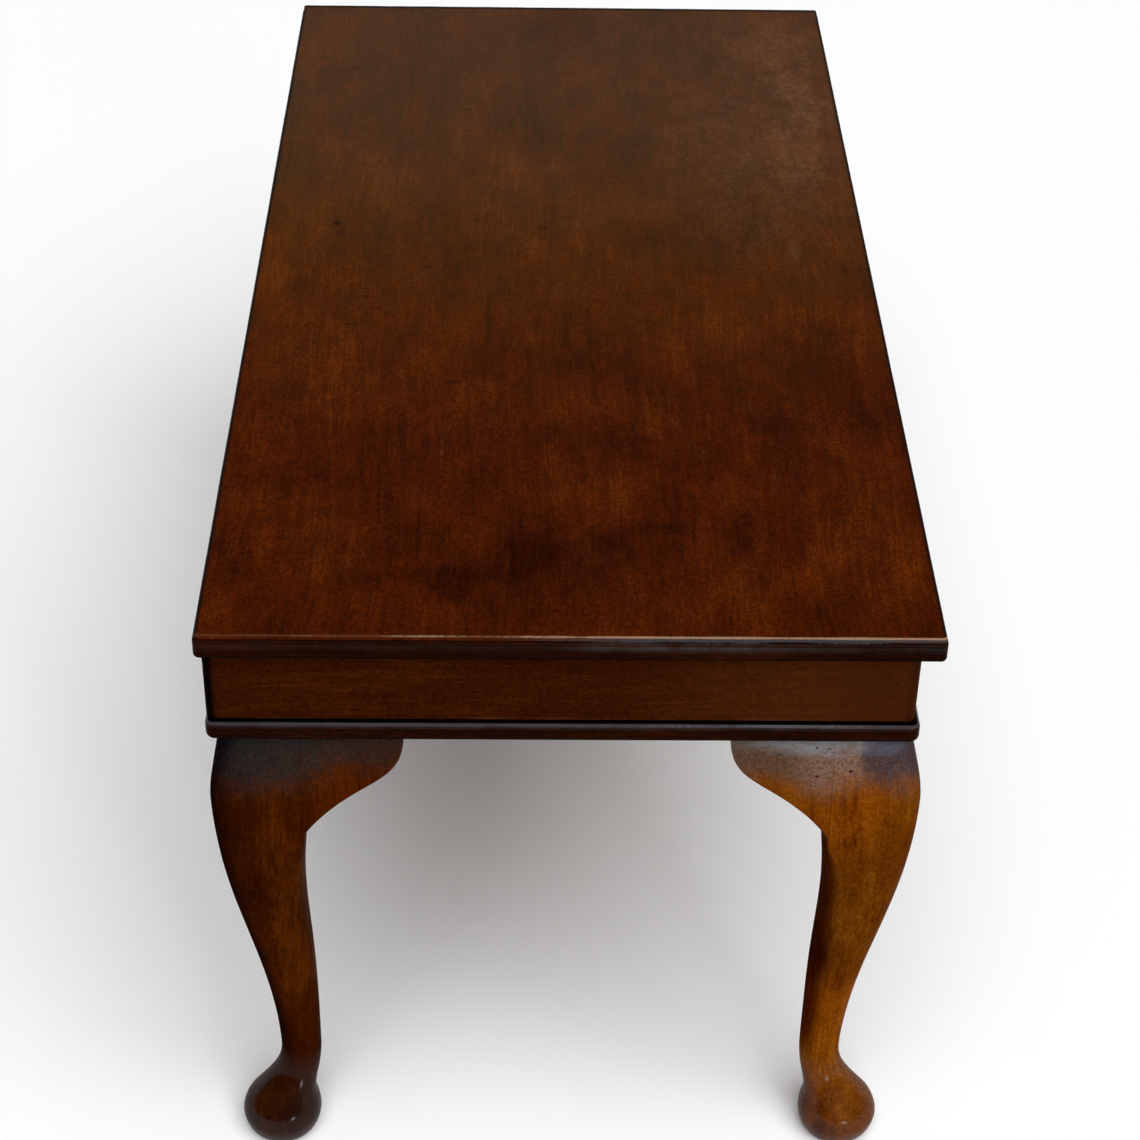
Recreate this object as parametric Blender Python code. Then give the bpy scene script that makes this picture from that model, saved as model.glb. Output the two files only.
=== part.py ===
"""Storage coffee table: a lift-up lid over a shallow box, on a moulded base frame and four cabriole legs.

Metres, +Z up, length along Y. The origin is on the floor under the middle of the lid, -X is the hinge side
and -Y is the near end.
"""

import math

import bmesh
import bpy
from mathutils import Vector

# Overall size, over the rounded edge of the lid
LID_LENGTH = 0.917
LID_WIDTH = 0.460
TABLE_HEIGHT = 0.465

# Gap at every glued or resting face, and between pieces that turn
GLUE_GAP = 0.0003
RUN_GAP = 0.0003

# Lid: a core inside four lippings, under one top sheet
LID_THICKNESS = 0.018
TOP_SHEET_THICKNESS = 0.0032
TOP_SHEET_SETBACK = 0.0015
TOP_SHEET_ARRIS = 0.0006
LIPPING_CORNER = 0.004
LIPPING_ROUND = 0.003
LIPPING_PAST_RAIL = 0.0015

# Box: the lid overhangs it least on the hinge side and most where the fingers lift it
OVERHANG_HINGE_SIDE = 0.0035
OVERHANG_LIFT_SIDE = 0.0135
OVERHANG_END = 0.009
RAIL_HEIGHT = 0.0535
RAIL_THICKNESS = 0.017
RAIL_CORNER = 0.005
BOTTOM_PANEL_THICKNESS = 0.005

# Base frame: a mitred frame whose rounded outer edge is the dark moulding under the box
BASE_THICKNESS = 0.015
BASE_MEMBER_WIDTH = 0.070
BASE_PROJECTION_HINGE_SIDE = 0.001
BASE_PROJECTION_LIFT_SIDE = 0.0035
BASE_PROJECTION_END = 0.004
BASE_CORNER = 0.006
BASE_ROUND = 0.004

# Cabriole leg, cut from square stock; offsets are measured inwards from the knee's outer faces
LEG_STOCK = 0.060
KNEE_INSET_HINGE_SIDE = 0.0005
KNEE_INSET_LIFT_SIDE = 0.0025
KNEE_INSET_END = 0.0005
KNEE_DROP = 0.055
KNEE_SWELL = 0.012
KNEE_CURVE = 1.3
CALF_HOLLOW = 0.0045
ANKLE_HEIGHT = 0.0585
ANKLE_DIAMETER = 0.028
ANKLE_SET = 0.0445
TURNED_HEIGHT = 0.090
FOOT_WIDEST_HEIGHT = 0.0215
FOOT_DIAMETER = 0.0553
FOOT_SET = 0.0297
FOOT_CURVE = 0.60
PAD_DIAMETER = 0.036

# Corner roundness of the leg's section, as a share of its half width
TURNED_ROUND = 0.98
KNEE_RIDGE_ROUND = 0.62
KNEE_SIDE_ROUND = 0.03
KNEE_BACK_ROUND = 0.20

# Knee brackets: their lower edge is one ogee from the leg to the tip, and each end of it is pulled
# towards a point given as shares of the reach and the drop
BRACKET_REACH = 0.065
BRACKET_DROP = 0.077
BRACKET_TIP = 0.009
BRACKET_LEG_PULL = (0.39, 0.45)
BRACKET_TIP_PULL = (0.93, 0.65)
BRACKET_BACK = 0.040
BRACKET_EDGE_ROUND = 0.003

# Dowels that hold the legs, and the corner blocks that they enter
DOWEL_DIAMETER = 0.012
DOWEL_INSET = 0.016
DOWEL_IN_LEG = 0.030
DOWEL_IN_BLOCK = 0.022
BLOCK_DROP = 0.012
BLOCK_WALL = 0.007

# Butt hinges, let into the hinge-side rail and lipping
HINGE_COUNT = 3
HINGE_LENGTH = 0.050
LEAF_THICKNESS = 0.0012
LEAF_MARGIN = 0.0035
BARREL_RADIUS = 0.0025
PIN_RADIUS = 0.0011
KNUCKLE_COUNT = 5
AXIS_OUTSIDE_RAIL = 0.0004

# Facets
CORNER_STEPS = 3
EDGE_STEPS = 4
LEG_ARC_STEPS = 4
ROUND_SIDES = 12
GROOVE_SIDES = 16
PAD_STEPS = 5
FOOT_STEPS = 10
CALF_STEPS = 9
THIGH_STEPS = 2
KNEE_STEPS = 4
BRACKET_COLUMNS = 10
BRACKET_ROWS = 5
BRACKET_EDGE_STEPS = 3
SHARP_ANGLE = math.radians(32)
TOUCHING = 0.00001

# Levels, from the lid down
LID_BOTTOM = TABLE_HEIGHT - LID_THICKNESS
RAIL_TOP = LID_BOTTOM - GLUE_GAP
RAIL_BOTTOM = RAIL_TOP - RAIL_HEIGHT
BASE_TOP = RAIL_BOTTOM - GLUE_GAP
BASE_BOTTOM = BASE_TOP - BASE_THICKNESS
LEG_TOP = BASE_BOTTOM - GLUE_GAP
KNEE_HEIGHT = LEG_TOP - KNEE_DROP
BRACKET_BOTTOM = LEG_TOP - BRACKET_DROP
BLOCK_TOP = RAIL_TOP - BLOCK_DROP

# Outer faces of the box and the base, and the knees' outer faces
BOX_LEFT = -LID_WIDTH / 2 + OVERHANG_HINGE_SIDE
BOX_RIGHT = LID_WIDTH / 2 - OVERHANG_LIFT_SIDE
BOX_END = LID_LENGTH / 2 - OVERHANG_END
BASE_LEFT = BOX_LEFT - BASE_PROJECTION_HINGE_SIDE
BASE_RIGHT = BOX_RIGHT + BASE_PROJECTION_LIFT_SIDE
BASE_END = BOX_END + BASE_PROJECTION_END
KNEE_LEFT = -LID_WIDTH / 2 + KNEE_INSET_HINGE_SIDE
KNEE_RIGHT = LID_WIDTH / 2 - KNEE_INSET_LIFT_SIDE
KNEE_END = LID_LENGTH / 2 - KNEE_INSET_END

# Hinge axis: just outside the rail, in the middle of the gap under the lid
AXIS_X = BOX_LEFT - AXIS_OUTSIDE_RAIL
AXIS_Z = RAIL_TOP + GLUE_GAP / 2
LEAF_REACH = RAIL_THICKNESS + AXIS_OUTSIDE_RAIL - LEAF_MARGIN
BORE_RADIUS = PIN_RADIUS + RUN_GAP
GROOVE_RADIUS = BARREL_RADIUS + RUN_GAP + GLUE_GAP / 2
LIPPING_WIDTH = OVERHANG_HINGE_SIDE + RAIL_THICKNESS + LIPPING_PAST_RAIL
DOWEL_OFFSET = LEG_STOCK - DOWEL_INSET

SIDES = {"near_end": (0, -1), "far_end": (0, 1), "hinge_side": (-1, 0), "lift_side": (1, 0)}
CORNERS = {"near_left": (-1, -1), "near_right": (1, -1), "far_left": (-1, 1), "far_right": (1, 1)}


def clear_scene():
    for old in list(bpy.data.objects):
        bpy.data.objects.remove(old)


def make_collection(name):
    collection = bpy.data.collections.new(name)
    bpy.context.scene.collection.children.link(collection)
    return collection


def make_material(name, colour, roughness, metallic=0.0):
    material = bpy.data.materials.new(name)
    material.use_nodes = True
    shader = material.node_tree.nodes["Principled BSDF"]
    shader.inputs["Base Color"].default_value = (*colour, 1.0)
    shader.inputs["Roughness"].default_value = roughness
    shader.inputs["Metallic"].default_value = metallic
    return material


def make_empty(name, location):
    empty = bpy.data.objects.new(name, None)
    empty.location = location
    parts.objects.link(empty)
    return empty


def add_part(name, mesh, material, location, parent):
    """A named piece at a world location, carried by its parent empty."""
    mesh.materials.clear()
    mesh.materials.append(material)
    mesh.shade_smooth()
    mesh.set_sharp_from_angle(angle=SHARP_ANGLE)
    part = bpy.data.objects.new(name, mesh)
    part.parent = parent
    part.location = Vector(location) - parent.location
    parts.objects.link(part)
    return part


def add_cutter(name, mesh, location):
    cutter = bpy.data.objects.new(name, mesh)
    cutter.location = location
    cutter.hide_render = True
    cutter.display_type = "WIRE"
    cutters.objects.link(cutter)
    return cutter


def add_boolean(part, operation, other):
    boolean = part.modifiers.new(f"{operation.lower()}_{other.name}", "BOOLEAN")
    boolean.operation = operation
    boolean.solver = "EXACT"
    boolean.object = other


def to_mesh(shape, name):
    bmesh.ops.recalc_face_normals(shape, faces=shape.faces[:])
    mesh = bpy.data.meshes.new(name)
    shape.to_mesh(mesh)
    shape.free()
    return mesh


def smooth_step(share):
    share = min(max(share, 0.0), 1.0)
    return share * share * (3 - 2 * share)


def between(start, end, share):
    return start + (end - start) * share


def round_bar(radius, length, sides, along_y=False):
    """A round bar centred on the origin, upright or along Y."""
    bar = bmesh.new()
    bmesh.ops.create_cone(bar, cap_ends=True, segments=sides, radius1=radius, radius2=radius, depth=length)
    if along_y:
        for vertex in bar.verts:
            vertex.co = Vector((vertex.co.x, vertex.co.z, -vertex.co.y))
    return bar


def box(size):
    shape = bmesh.new()
    bmesh.ops.create_cube(shape, size=1.0)
    bmesh.ops.scale(shape, vec=size, verts=shape.verts[:])
    return shape


def round_edges(shape, edges, radius, steps):
    bmesh.ops.bevel(shape, geom=edges, offset=radius, segments=steps, profile=0.5, affect="EDGES")


def rounded_slab(size, corner, upper_round=0.0, lower_round=0.0):
    """A flat slab centred on the origin, with rounded corners in plan and rounded rims."""
    shape = box(size)
    upright = [edge for edge in shape.edges if abs(edge.verts[0].co.z - edge.verts[1].co.z) > size[2] / 2]
    round_edges(shape, upright, corner, CORNER_STEPS)
    for level, radius in ((size[2] / 2, upper_round), (-size[2] / 2, lower_round)):
        rim = [edge for edge in shape.edges if all(abs(v.co.z - level) < TOUCHING for v in edge.verts)]
        if radius > 0:
            round_edges(shape, rim, radius, EDGE_STEPS)
    return shape


def cut_beyond(shape, point, normal):
    """Removes what lies beyond a plane and closes the cut."""
    geometry = shape.verts[:] + shape.edges[:] + shape.faces[:]
    bmesh.ops.bisect_plane(shape, geom=geometry, plane_co=point, plane_no=normal, clear_outer=True)
    rim = [edge for edge in shape.edges if edge.is_boundary]
    bmesh.ops.holes_fill(shape, edges=rim, sides=0)


def frame_member(size, width, outward, corner, upper_round=0.0, lower_round=0.0):
    """One side of a mitred frame of this outer size, as wide as its width, centred on the frame."""
    member = rounded_slab(size, corner, upper_round, lower_round)
    out = Vector((*outward, 0))
    along = Vector((-out.y, out.x, 0))
    half = Vector((size[0] / 2, size[1] / 2, 0))
    half_out = abs(out.dot(half))
    half_along = abs(along.x) * half.x + abs(along.y) * half.y
    cut_beyond(member, out * (half_out - width), -out)
    for end in (-1, 1):
        mitre = (along * end - out).normalized()
        corner_point = out * half_out + along * (half_along * end)
        cut_beyond(member, corner_point - mitre * (GLUE_GAP / 2), mitre)
    return member


def flat_outline(points, thickness, name):
    """A flat piece from a closed outline, centred on its thickness."""
    curve = bpy.data.curves.new(name, "CURVE")
    curve.dimensions = "2D"
    curve.fill_mode = "BOTH"
    curve.extrude = thickness / 2
    spline = curve.splines.new("POLY")
    spline.points.add(len(points) - 1)
    for target, point in zip(spline.points, points):
        target.co = (point[0], point[1], 0, 1)
    spline.use_cyclic_u = True
    guide = bpy.data.objects.new(name, curve)
    cutters.objects.link(guide)
    bpy.context.view_layer.update()
    evaluated = guide.evaluated_get(bpy.context.evaluated_depsgraph_get())
    mesh = bpy.data.meshes.new_from_object(evaluated)
    bpy.data.objects.remove(guide)
    shape = bmesh.new()
    shape.from_mesh(mesh)
    bmesh.ops.remove_doubles(shape, verts=shape.verts[:], dist=TOUCHING)
    return to_mesh(shape, name)


def loft(sections):
    """A closed skin over sections that all have the same number of points."""
    shape = bmesh.new()
    rings = [[shape.verts.new(point) for point in section] for section in sections]
    for lower, upper in zip(rings, rings[1:]):
        for i in range(len(lower)):
            j = (i + 1) % len(lower)
            shape.faces.new((lower[i], lower[j], upper[j], upper[i]))
    shape.faces.new(rings[0])
    shape.faces.new(rings[-1])
    return shape


def leg_outer(height):
    """Offset of the leg's two outer faces, inwards from the knee's outer faces."""
    if height >= KNEE_HEIGHT:
        return KNEE_SWELL * ((height - KNEE_HEIGHT) / KNEE_DROP) ** KNEE_CURVE
    if height >= ANKLE_HEIGHT:
        share = smooth_step((height - ANKLE_HEIGHT) / (KNEE_HEIGHT - ANKLE_HEIGHT))
        return (ANKLE_SET - ANKLE_DIAMETER / 2) * (1 - share)
    centre, radius = foot_round(height)
    return centre - radius


def leg_inner(height):
    """Offset of the leg's two inner faces, from the same outer faces."""
    if height >= BRACKET_BOTTOM:
        return LEG_STOCK
    if height >= ANKLE_HEIGHT:
        share = (height - ANKLE_HEIGHT) / (BRACKET_BOTTOM - ANKLE_HEIGHT)
        straight = between(ANKLE_SET + ANKLE_DIAMETER / 2, LEG_STOCK, share)
        return straight - CALF_HOLLOW * math.sin(math.pi * share * share) ** 2
    centre, radius = foot_round(height)
    return centre + radius


def foot_round(height):
    """Centre offset and radius of the turned foot, from the pad up to the ankle."""
    if height <= FOOT_WIDEST_HEIGHT:
        below = 1 - height / FOOT_WIDEST_HEIGHT
        return FOOT_SET, between(PAD_DIAMETER, FOOT_DIAMETER, math.sqrt(1 - below * below)) / 2
    share = (height - FOOT_WIDEST_HEIGHT) / (ANKLE_HEIGHT - FOOT_WIDEST_HEIGHT)
    centre = between(FOOT_SET, ANKLE_SET, smooth_step(share))
    return centre, between(FOOT_DIAMETER, ANKLE_DIAMETER, smooth_step(share**FOOT_CURVE)) / 2


def leg_section(height):
    """The leg's outline at a height: round at the ankle and foot, a square with a soft ridge at the knee."""
    outer = leg_outer(height)
    inner = leg_inner(height)
    half = (inner - outer) / 2
    squareness = smooth_step((height - TURNED_HEIGHT) / (BRACKET_BOTTOM - TURNED_HEIGHT))
    ridge = half * between(TURNED_ROUND, KNEE_RIDGE_ROUND, squareness)
    side = half * between(TURNED_ROUND, KNEE_SIDE_ROUND, squareness)
    back = half * between(TURNED_ROUND, KNEE_BACK_ROUND, squareness)
    arcs = (
        (outer + ridge, outer + ridge, ridge, 180),
        (inner - side, outer + side, side, 270),
        (inner - back, inner - back, back, 0),
        (outer + side, inner - side, side, 90),
    )
    points = []
    for centre_x, centre_y, radius, start in arcs:
        for step in range(LEG_ARC_STEPS + 1):
            angle = math.radians(start + 90 * step / LEG_ARC_STEPS)
            points.append((centre_x + radius * math.cos(angle), centre_y + radius * math.sin(angle)))
    return points


def leg_heights():
    """Section heights, closest together where the leg curves most."""
    heights = []
    for step in range(PAD_STEPS):
        heights.append(FOOT_WIDEST_HEIGHT * (1 - math.cos(math.pi / 2 * step / PAD_STEPS)))
    stretches = (
        (FOOT_WIDEST_HEIGHT, ANKLE_HEIGHT, FOOT_STEPS),
        (ANKLE_HEIGHT, BRACKET_BOTTOM, CALF_STEPS),
        (BRACKET_BOTTOM, KNEE_HEIGHT, THIGH_STEPS),
        (KNEE_HEIGHT, LEG_TOP, KNEE_STEPS),
    )
    for start, end, steps in stretches:
        heights += [between(start, end, step / steps) for step in range(steps)]
    return heights + [LEG_TOP]


def leg_shape(side_x, side_y):
    sections = []
    for height in leg_heights():
        sections.append([Vector((-side_x * u, -side_y * v, height)) for u, v in leg_section(height)])
    return loft(sections)


def bracket_edge(share):
    """Distance from the leg and drop below the leg's top, along the bracket's ogee lower edge."""
    handles = (
        (GLUE_GAP, BRACKET_DROP),
        (BRACKET_LEG_PULL[0] * BRACKET_REACH, BRACKET_LEG_PULL[1] * BRACKET_DROP),
        (BRACKET_TIP_PULL[0] * BRACKET_REACH, BRACKET_TIP_PULL[1] * BRACKET_DROP),
        (BRACKET_REACH, BRACKET_TIP),
    )
    weights = ((1 - share) ** 3, 3 * share * (1 - share) ** 2, 3 * share**2 * (1 - share), share**3)
    reach = sum(weight * handle[0] for weight, handle in zip(weights, handles))
    drop = sum(weight * handle[1] for weight, handle in zip(weights, handles))
    return reach, drop


def bracket_face(reach, height):
    """Offset of the bracket's show face: flush with the knee at the leg, upright at the tip."""
    return between(leg_outer(height), KNEE_SWELL, smooth_step(reach / BRACKET_REACH))


def bracket_shape(side_x, side_y, along_x):
    sections = []
    for column in range(BRACKET_COLUMNS + 1):
        reach, drop = bracket_edge(column / BRACKET_COLUMNS)
        low = LEG_TOP - drop
        loop = [(BRACKET_BACK, LEG_TOP), (BRACKET_BACK, low)]
        for step in range(BRACKET_EDGE_STEPS):
            angle = math.pi / 2 * step / BRACKET_EDGE_STEPS
            height = low + BRACKET_EDGE_ROUND * (1 - math.cos(angle))
            set_back = BRACKET_EDGE_ROUND * (1 - math.sin(angle))
            loop.append((bracket_face(reach, height) + set_back, height))
        for row in range(BRACKET_ROWS + 1):
            height = between(low + BRACKET_EDGE_ROUND, LEG_TOP, row / BRACKET_ROWS)
            loop.append((bracket_face(reach, height), height))
        along = LEG_STOCK + reach
        if along_x:
            sections.append([Vector((-side_x * along, -side_y * across, z)) for across, z in loop])
        else:
            sections.append([Vector((-side_x * across, -side_y * along, z)) for across, z in loop])
    return loft(sections)


def knee_corner(side_x, side_y):
    return Vector((KNEE_LEFT if side_x < 0 else KNEE_RIGHT, side_y * KNEE_END, 0))


def box_inner_corner(side_x, side_y):
    inner_x = BOX_LEFT + RAIL_THICKNESS if side_x < 0 else BOX_RIGHT - RAIL_THICKNESS
    return Vector((inner_x, side_y * (BOX_END - RAIL_THICKNESS), 0))


def dowel_place(side_x, side_y):
    return knee_corner(side_x, side_y) - Vector((side_x * DOWEL_OFFSET, side_y * DOWEL_OFFSET, 0))


def block_leg(side_x, side_y):
    """Length of a corner block's two sides: enough timber beyond the dowel that it holds."""
    from_corner = box_inner_corner(side_x, side_y) - dowel_place(side_x, side_y)
    wall = (DOWEL_DIAMETER / 2 + BLOCK_WALL) * math.sqrt(2)
    return abs(from_corner.x) + abs(from_corner.y) + wall


def build_lid():
    core_top = TABLE_HEIGHT - TOP_SHEET_THICKNESS - GLUE_GAP
    lower_thickness = core_top - LID_BOTTOM
    lower_centre = (0, 0, LID_BOTTOM + lower_thickness / 2)
    sheet_size = (
        LID_WIDTH - 2 * TOP_SHEET_SETBACK,
        LID_LENGTH - 2 * TOP_SHEET_SETBACK,
        TOP_SHEET_THICKNESS,
    )
    sheet = rounded_slab(sheet_size, LIPPING_CORNER - TOP_SHEET_SETBACK, TOP_SHEET_ARRIS)
    sheet_centre = (0, 0, TABLE_HEIGHT - TOP_SHEET_THICKNESS / 2)
    add_part("lid_top_sheet", to_mesh(sheet, "lid_top_sheet"), top_wood, sheet_centre, lid_pivot)
    core_cut = 2 * (LIPPING_WIDTH + GLUE_GAP)
    core = box((LID_WIDTH - core_cut, LID_LENGTH - core_cut, lower_thickness))
    add_part("lid_core", to_mesh(core, "lid_core"), inner_wood, lower_centre, lid_pivot)
    lippings = {}
    for side, outward in SIDES.items():
        size = (LID_WIDTH, LID_LENGTH, lower_thickness)
        name = f"lid_lipping_{side}"
        member = frame_member(size, LIPPING_WIDTH, outward, LIPPING_CORNER, LIPPING_ROUND, LIPPING_ROUND)
        lippings[side] = add_part(name, to_mesh(member, name), edge_wood, lower_centre, lid_pivot)
    return lippings


def build_box():
    rails = {}
    size = (BOX_RIGHT - BOX_LEFT, 2 * BOX_END, RAIL_HEIGHT)
    centre = ((BOX_LEFT + BOX_RIGHT) / 2, 0, RAIL_BOTTOM + RAIL_HEIGHT / 2)
    for side, outward in SIDES.items():
        name = f"rail_{side}"
        member = frame_member(size, RAIL_THICKNESS, outward, RAIL_CORNER)
        rails[side] = add_part(name, to_mesh(member, name), rail_wood, centre, carcase)
    outline = []
    for corner, along_first in (("near_left", 0), ("near_right", 1), ("far_right", 0), ("far_left", 1)):
        sides = CORNERS[corner]
        at = box_inner_corner(*sides)
        cut = block_leg(*sides) + GLUE_GAP * (1 + math.sqrt(2))
        on_side = (at.x - sides[0] * GLUE_GAP, at.y - sides[1] * cut)
        on_end = (at.x - sides[0] * cut, at.y - sides[1] * GLUE_GAP)
        outline += [on_end, on_side] if along_first else [on_side, on_end]
    panel = flat_outline(outline, BOTTOM_PANEL_THICKNESS, "bottom_panel")
    panel_centre = (0, 0, BASE_TOP + GLUE_GAP + BOTTOM_PANEL_THICKNESS / 2)
    add_part("bottom_panel", panel, inner_wood, panel_centre, carcase)
    return rails


def build_base():
    members = {}
    size = (BASE_RIGHT - BASE_LEFT, 2 * BASE_END, BASE_THICKNESS)
    centre = ((BASE_LEFT + BASE_RIGHT) / 2, 0, BASE_BOTTOM + BASE_THICKNESS / 2)
    for side, outward in SIDES.items():
        name = f"base_{side}"
        member = frame_member(size, BASE_MEMBER_WIDTH, outward, BASE_CORNER, BASE_ROUND, BASE_ROUND)
        members[side] = add_part(name, to_mesh(member, name), edge_wood, centre, carcase)
    return members


def build_corner(corner, base_members):
    """A leg with its two brackets, its dowel and the corner block above it."""
    side_x, side_y = CORNERS[corner]
    at = knee_corner(side_x, side_y)
    leg_name = f"leg_{corner}"
    leg = add_part(leg_name, to_mesh(leg_shape(side_x, side_y), leg_name), leg_wood, at, carcase)
    for run, along_x in (("end", True), ("side", False)):
        name = f"knee_bracket_{corner}_{run}"
        bracket = to_mesh(bracket_shape(side_x, side_y, along_x), name)
        add_part(name, bracket, leg_wood, at, carcase)

    inner = box_inner_corner(side_x, side_y) - Vector((side_x * GLUE_GAP, side_y * GLUE_GAP, 0))
    size = block_leg(side_x, side_y)
    outline = [(0, 0), (-side_x * size, 0), (0, -side_y * size)]
    block_height = BLOCK_TOP - BASE_TOP - GLUE_GAP
    block_mesh = flat_outline(outline, block_height, f"corner_block_{corner}")
    block_centre = (inner.x, inner.y, BLOCK_TOP - block_height / 2)
    block = add_part(f"corner_block_{corner}", block_mesh, inner_wood, block_centre, carcase)

    low = LEG_TOP - DOWEL_IN_LEG
    high = BASE_TOP + GLUE_GAP + DOWEL_IN_BLOCK
    place = dowel_place(side_x, side_y) + Vector((0, 0, (low + high) / 2))
    dowel = to_mesh(round_bar(DOWEL_DIAMETER / 2, high - low, ROUND_SIDES), f"leg_dowel_{corner}")
    add_part(f"leg_dowel_{corner}", dowel, inner_wood, place, carcase)
    bore = round_bar(DOWEL_DIAMETER / 2 + GLUE_GAP, high - low + 2 * GLUE_GAP, ROUND_SIDES)
    cutter = add_cutter(f"dowel_bore_{corner}", to_mesh(bore, f"dowel_bore_{corner}"), place)
    end_member = base_members["near_end" if side_y < 0 else "far_end"]
    side_member = base_members["hinge_side" if side_x < 0 else "lift_side"]
    for bored in (leg, block, end_member, side_member):
        add_boolean(bored, "DIFFERENCE", cutter)


def knuckle_span(index):
    """Start and end of one knuckle along the hinge."""
    pitch = HINGE_LENGTH / KNUCKLE_COUNT
    start = -HINGE_LENGTH / 2 + index * pitch
    return start + RUN_GAP / 2, start + pitch - RUN_GAP / 2


def leaf_outline(knuckles):
    """Plan of a leaf from the barrel inwards: a comb with one tab for each of its knuckles."""
    notch = BARREL_RADIUS + RUN_GAP
    tab = (BORE_RADIUS + BARREL_RADIUS) / 2
    points = [(LEAF_REACH, HINGE_LENGTH / 2), (notch, HINGE_LENGTH / 2)]
    for index in reversed(knuckles):
        start, end = knuckle_span(index)
        points += [(notch, end), (tab, end), (tab, start), (notch, start)]
    points += [(notch, -HINGE_LENGTH / 2), (LEAF_REACH, -HINGE_LENGTH / 2)]
    return points


def build_leaf(name, knuckles, level, axis, parent):
    """A hinge leaf with its knuckles rolled round the pin."""
    plate = flat_outline(leaf_outline(knuckles), LEAF_THICKNESS, name)
    shift = Vector((0, 0, level))
    for vertex in plate.vertices:
        vertex.co += shift
    leaf = add_part(name, plate, brass, axis, parent)
    for index in knuckles:
        start, end = knuckle_span(index)
        barrel = to_mesh(round_bar(BARREL_RADIUS, end - start, ROUND_SIDES, True), f"{name}_knuckle")
        middle = axis + Vector((0, (start + end) / 2, 0))
        add_boolean(leaf, "UNION", add_cutter(f"{name}_knuckle_{index}", barrel, middle))
    bore = to_mesh(round_bar(BORE_RADIUS, HINGE_LENGTH + 2 * BARREL_RADIUS, ROUND_SIDES, True), f"{name}_bore")
    add_boolean(leaf, "DIFFERENCE", add_cutter(f"{name}_bore", bore, axis))


def build_hinge(number, place_y, rail, lipping):
    axis = Vector((AXIS_X, place_y, AXIS_Z))
    leaf_level = GLUE_GAP / 2 + LEAF_THICKNESS / 2
    rail_knuckles = list(range(0, KNUCKLE_COUNT, 2))
    lid_knuckles = list(range(1, KNUCKLE_COUNT, 2))
    build_leaf(f"hinge_rail_leaf_{number}", rail_knuckles, -leaf_level, axis, carcase)
    build_leaf(f"hinge_lid_leaf_{number}", lid_knuckles, leaf_level, axis, lid_pivot)
    pin = to_mesh(round_bar(PIN_RADIUS, HINGE_LENGTH, ROUND_SIDES, True), f"hinge_pin_{number}")
    add_part(f"hinge_pin_{number}", pin, brass, axis, carcase)

    length = HINGE_LENGTH + 2 * GLUE_GAP
    depth = GLUE_GAP + 2 * (LEAF_THICKNESS + GLUE_GAP)
    mortise = to_mesh(box((LEAF_REACH + GLUE_GAP, length, depth)), f"hinge_mortise_{number}")
    middle = axis + Vector(((LEAF_REACH + GLUE_GAP) / 2, 0, 0))
    groove = to_mesh(round_bar(GROOVE_RADIUS, length, GROOVE_SIDES, True), f"hinge_groove_{number}")
    for cutter in (
        add_cutter(f"hinge_mortise_{number}", mortise, middle),
        add_cutter(f"hinge_groove_{number}", groove, axis),
    ):
        add_boolean(rail, "DIFFERENCE", cutter)
        add_boolean(lipping, "DIFFERENCE", cutter)


clear_scene()
parts = make_collection("storage_coffee_table")
cutters = make_collection("cutters")

top_wood = make_material("polished_mahogany_top", (0.075, 0.019, 0.005), 0.30)
edge_wood = make_material("dark_stained_edge", (0.016, 0.006, 0.003), 0.28)
rail_wood = make_material("mahogany_frieze", (0.060, 0.017, 0.006), 0.38)
leg_wood = make_material("mahogany_legs", (0.105, 0.036, 0.010), 0.32)
inner_wood = make_material("unpolished_timber", (0.280, 0.150, 0.065), 0.65)
brass = make_material("aged_brass", (0.420, 0.270, 0.095), 0.40, 1.0)

carcase = make_empty("carcase", (0, 0, 0))
lid_pivot = make_empty("lid_pivot", (AXIS_X, 0, AXIS_Z))

lid_lippings = build_lid()
box_rails = build_box()
base_frame = build_base()
for corner_name in CORNERS:
    build_corner(corner_name, base_frame)
for hinge in range(HINGE_COUNT):
    hinge_y = 2 * BOX_END * ((hinge + 0.5) / HINGE_COUNT - 0.5)
    build_hinge(hinge + 1, hinge_y, box_rails["hinge_side"], lid_lippings["hinge_side"])
bpy.context.view_layer.update()
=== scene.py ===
import math

import bmesh
import bpy
from mathutils import Matrix, Vector, noise


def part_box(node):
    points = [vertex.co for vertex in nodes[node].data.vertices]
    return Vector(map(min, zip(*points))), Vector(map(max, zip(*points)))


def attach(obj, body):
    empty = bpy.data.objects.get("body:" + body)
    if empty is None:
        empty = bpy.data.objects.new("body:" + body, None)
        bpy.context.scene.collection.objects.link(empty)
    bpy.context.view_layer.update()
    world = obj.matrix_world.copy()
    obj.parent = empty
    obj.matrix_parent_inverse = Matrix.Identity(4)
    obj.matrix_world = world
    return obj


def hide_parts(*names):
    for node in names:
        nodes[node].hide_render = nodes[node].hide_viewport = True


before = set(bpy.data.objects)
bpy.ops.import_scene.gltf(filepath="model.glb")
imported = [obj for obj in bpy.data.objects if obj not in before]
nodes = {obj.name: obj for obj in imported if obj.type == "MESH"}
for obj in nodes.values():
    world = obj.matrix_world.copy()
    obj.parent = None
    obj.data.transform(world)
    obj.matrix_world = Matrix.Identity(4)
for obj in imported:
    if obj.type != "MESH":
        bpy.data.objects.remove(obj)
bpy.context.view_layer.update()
scene = bpy.context.scene
print("frame loaded:", len(nodes), "nodes")

ends = {"near_end": (0, -1), "far_end": (0, 1), "hinge_side": (-1, 0), "lift_side": (1, 0)}
corners = {"near_left": (-1, -1), "near_right": (1, -1), "far_left": (-1, 1), "far_right": (1, 1)}


def smooth(share):
    share = min(max(share, 0.0), 1.0)
    return share * share * (3 - 2 * share)


# smooth step from 0 to 1 over a length that begins at start
def rise(value, start, length):
    return smooth((value - start) / length)


def between(start, end, share):
    return start + (end - start) * share


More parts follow.
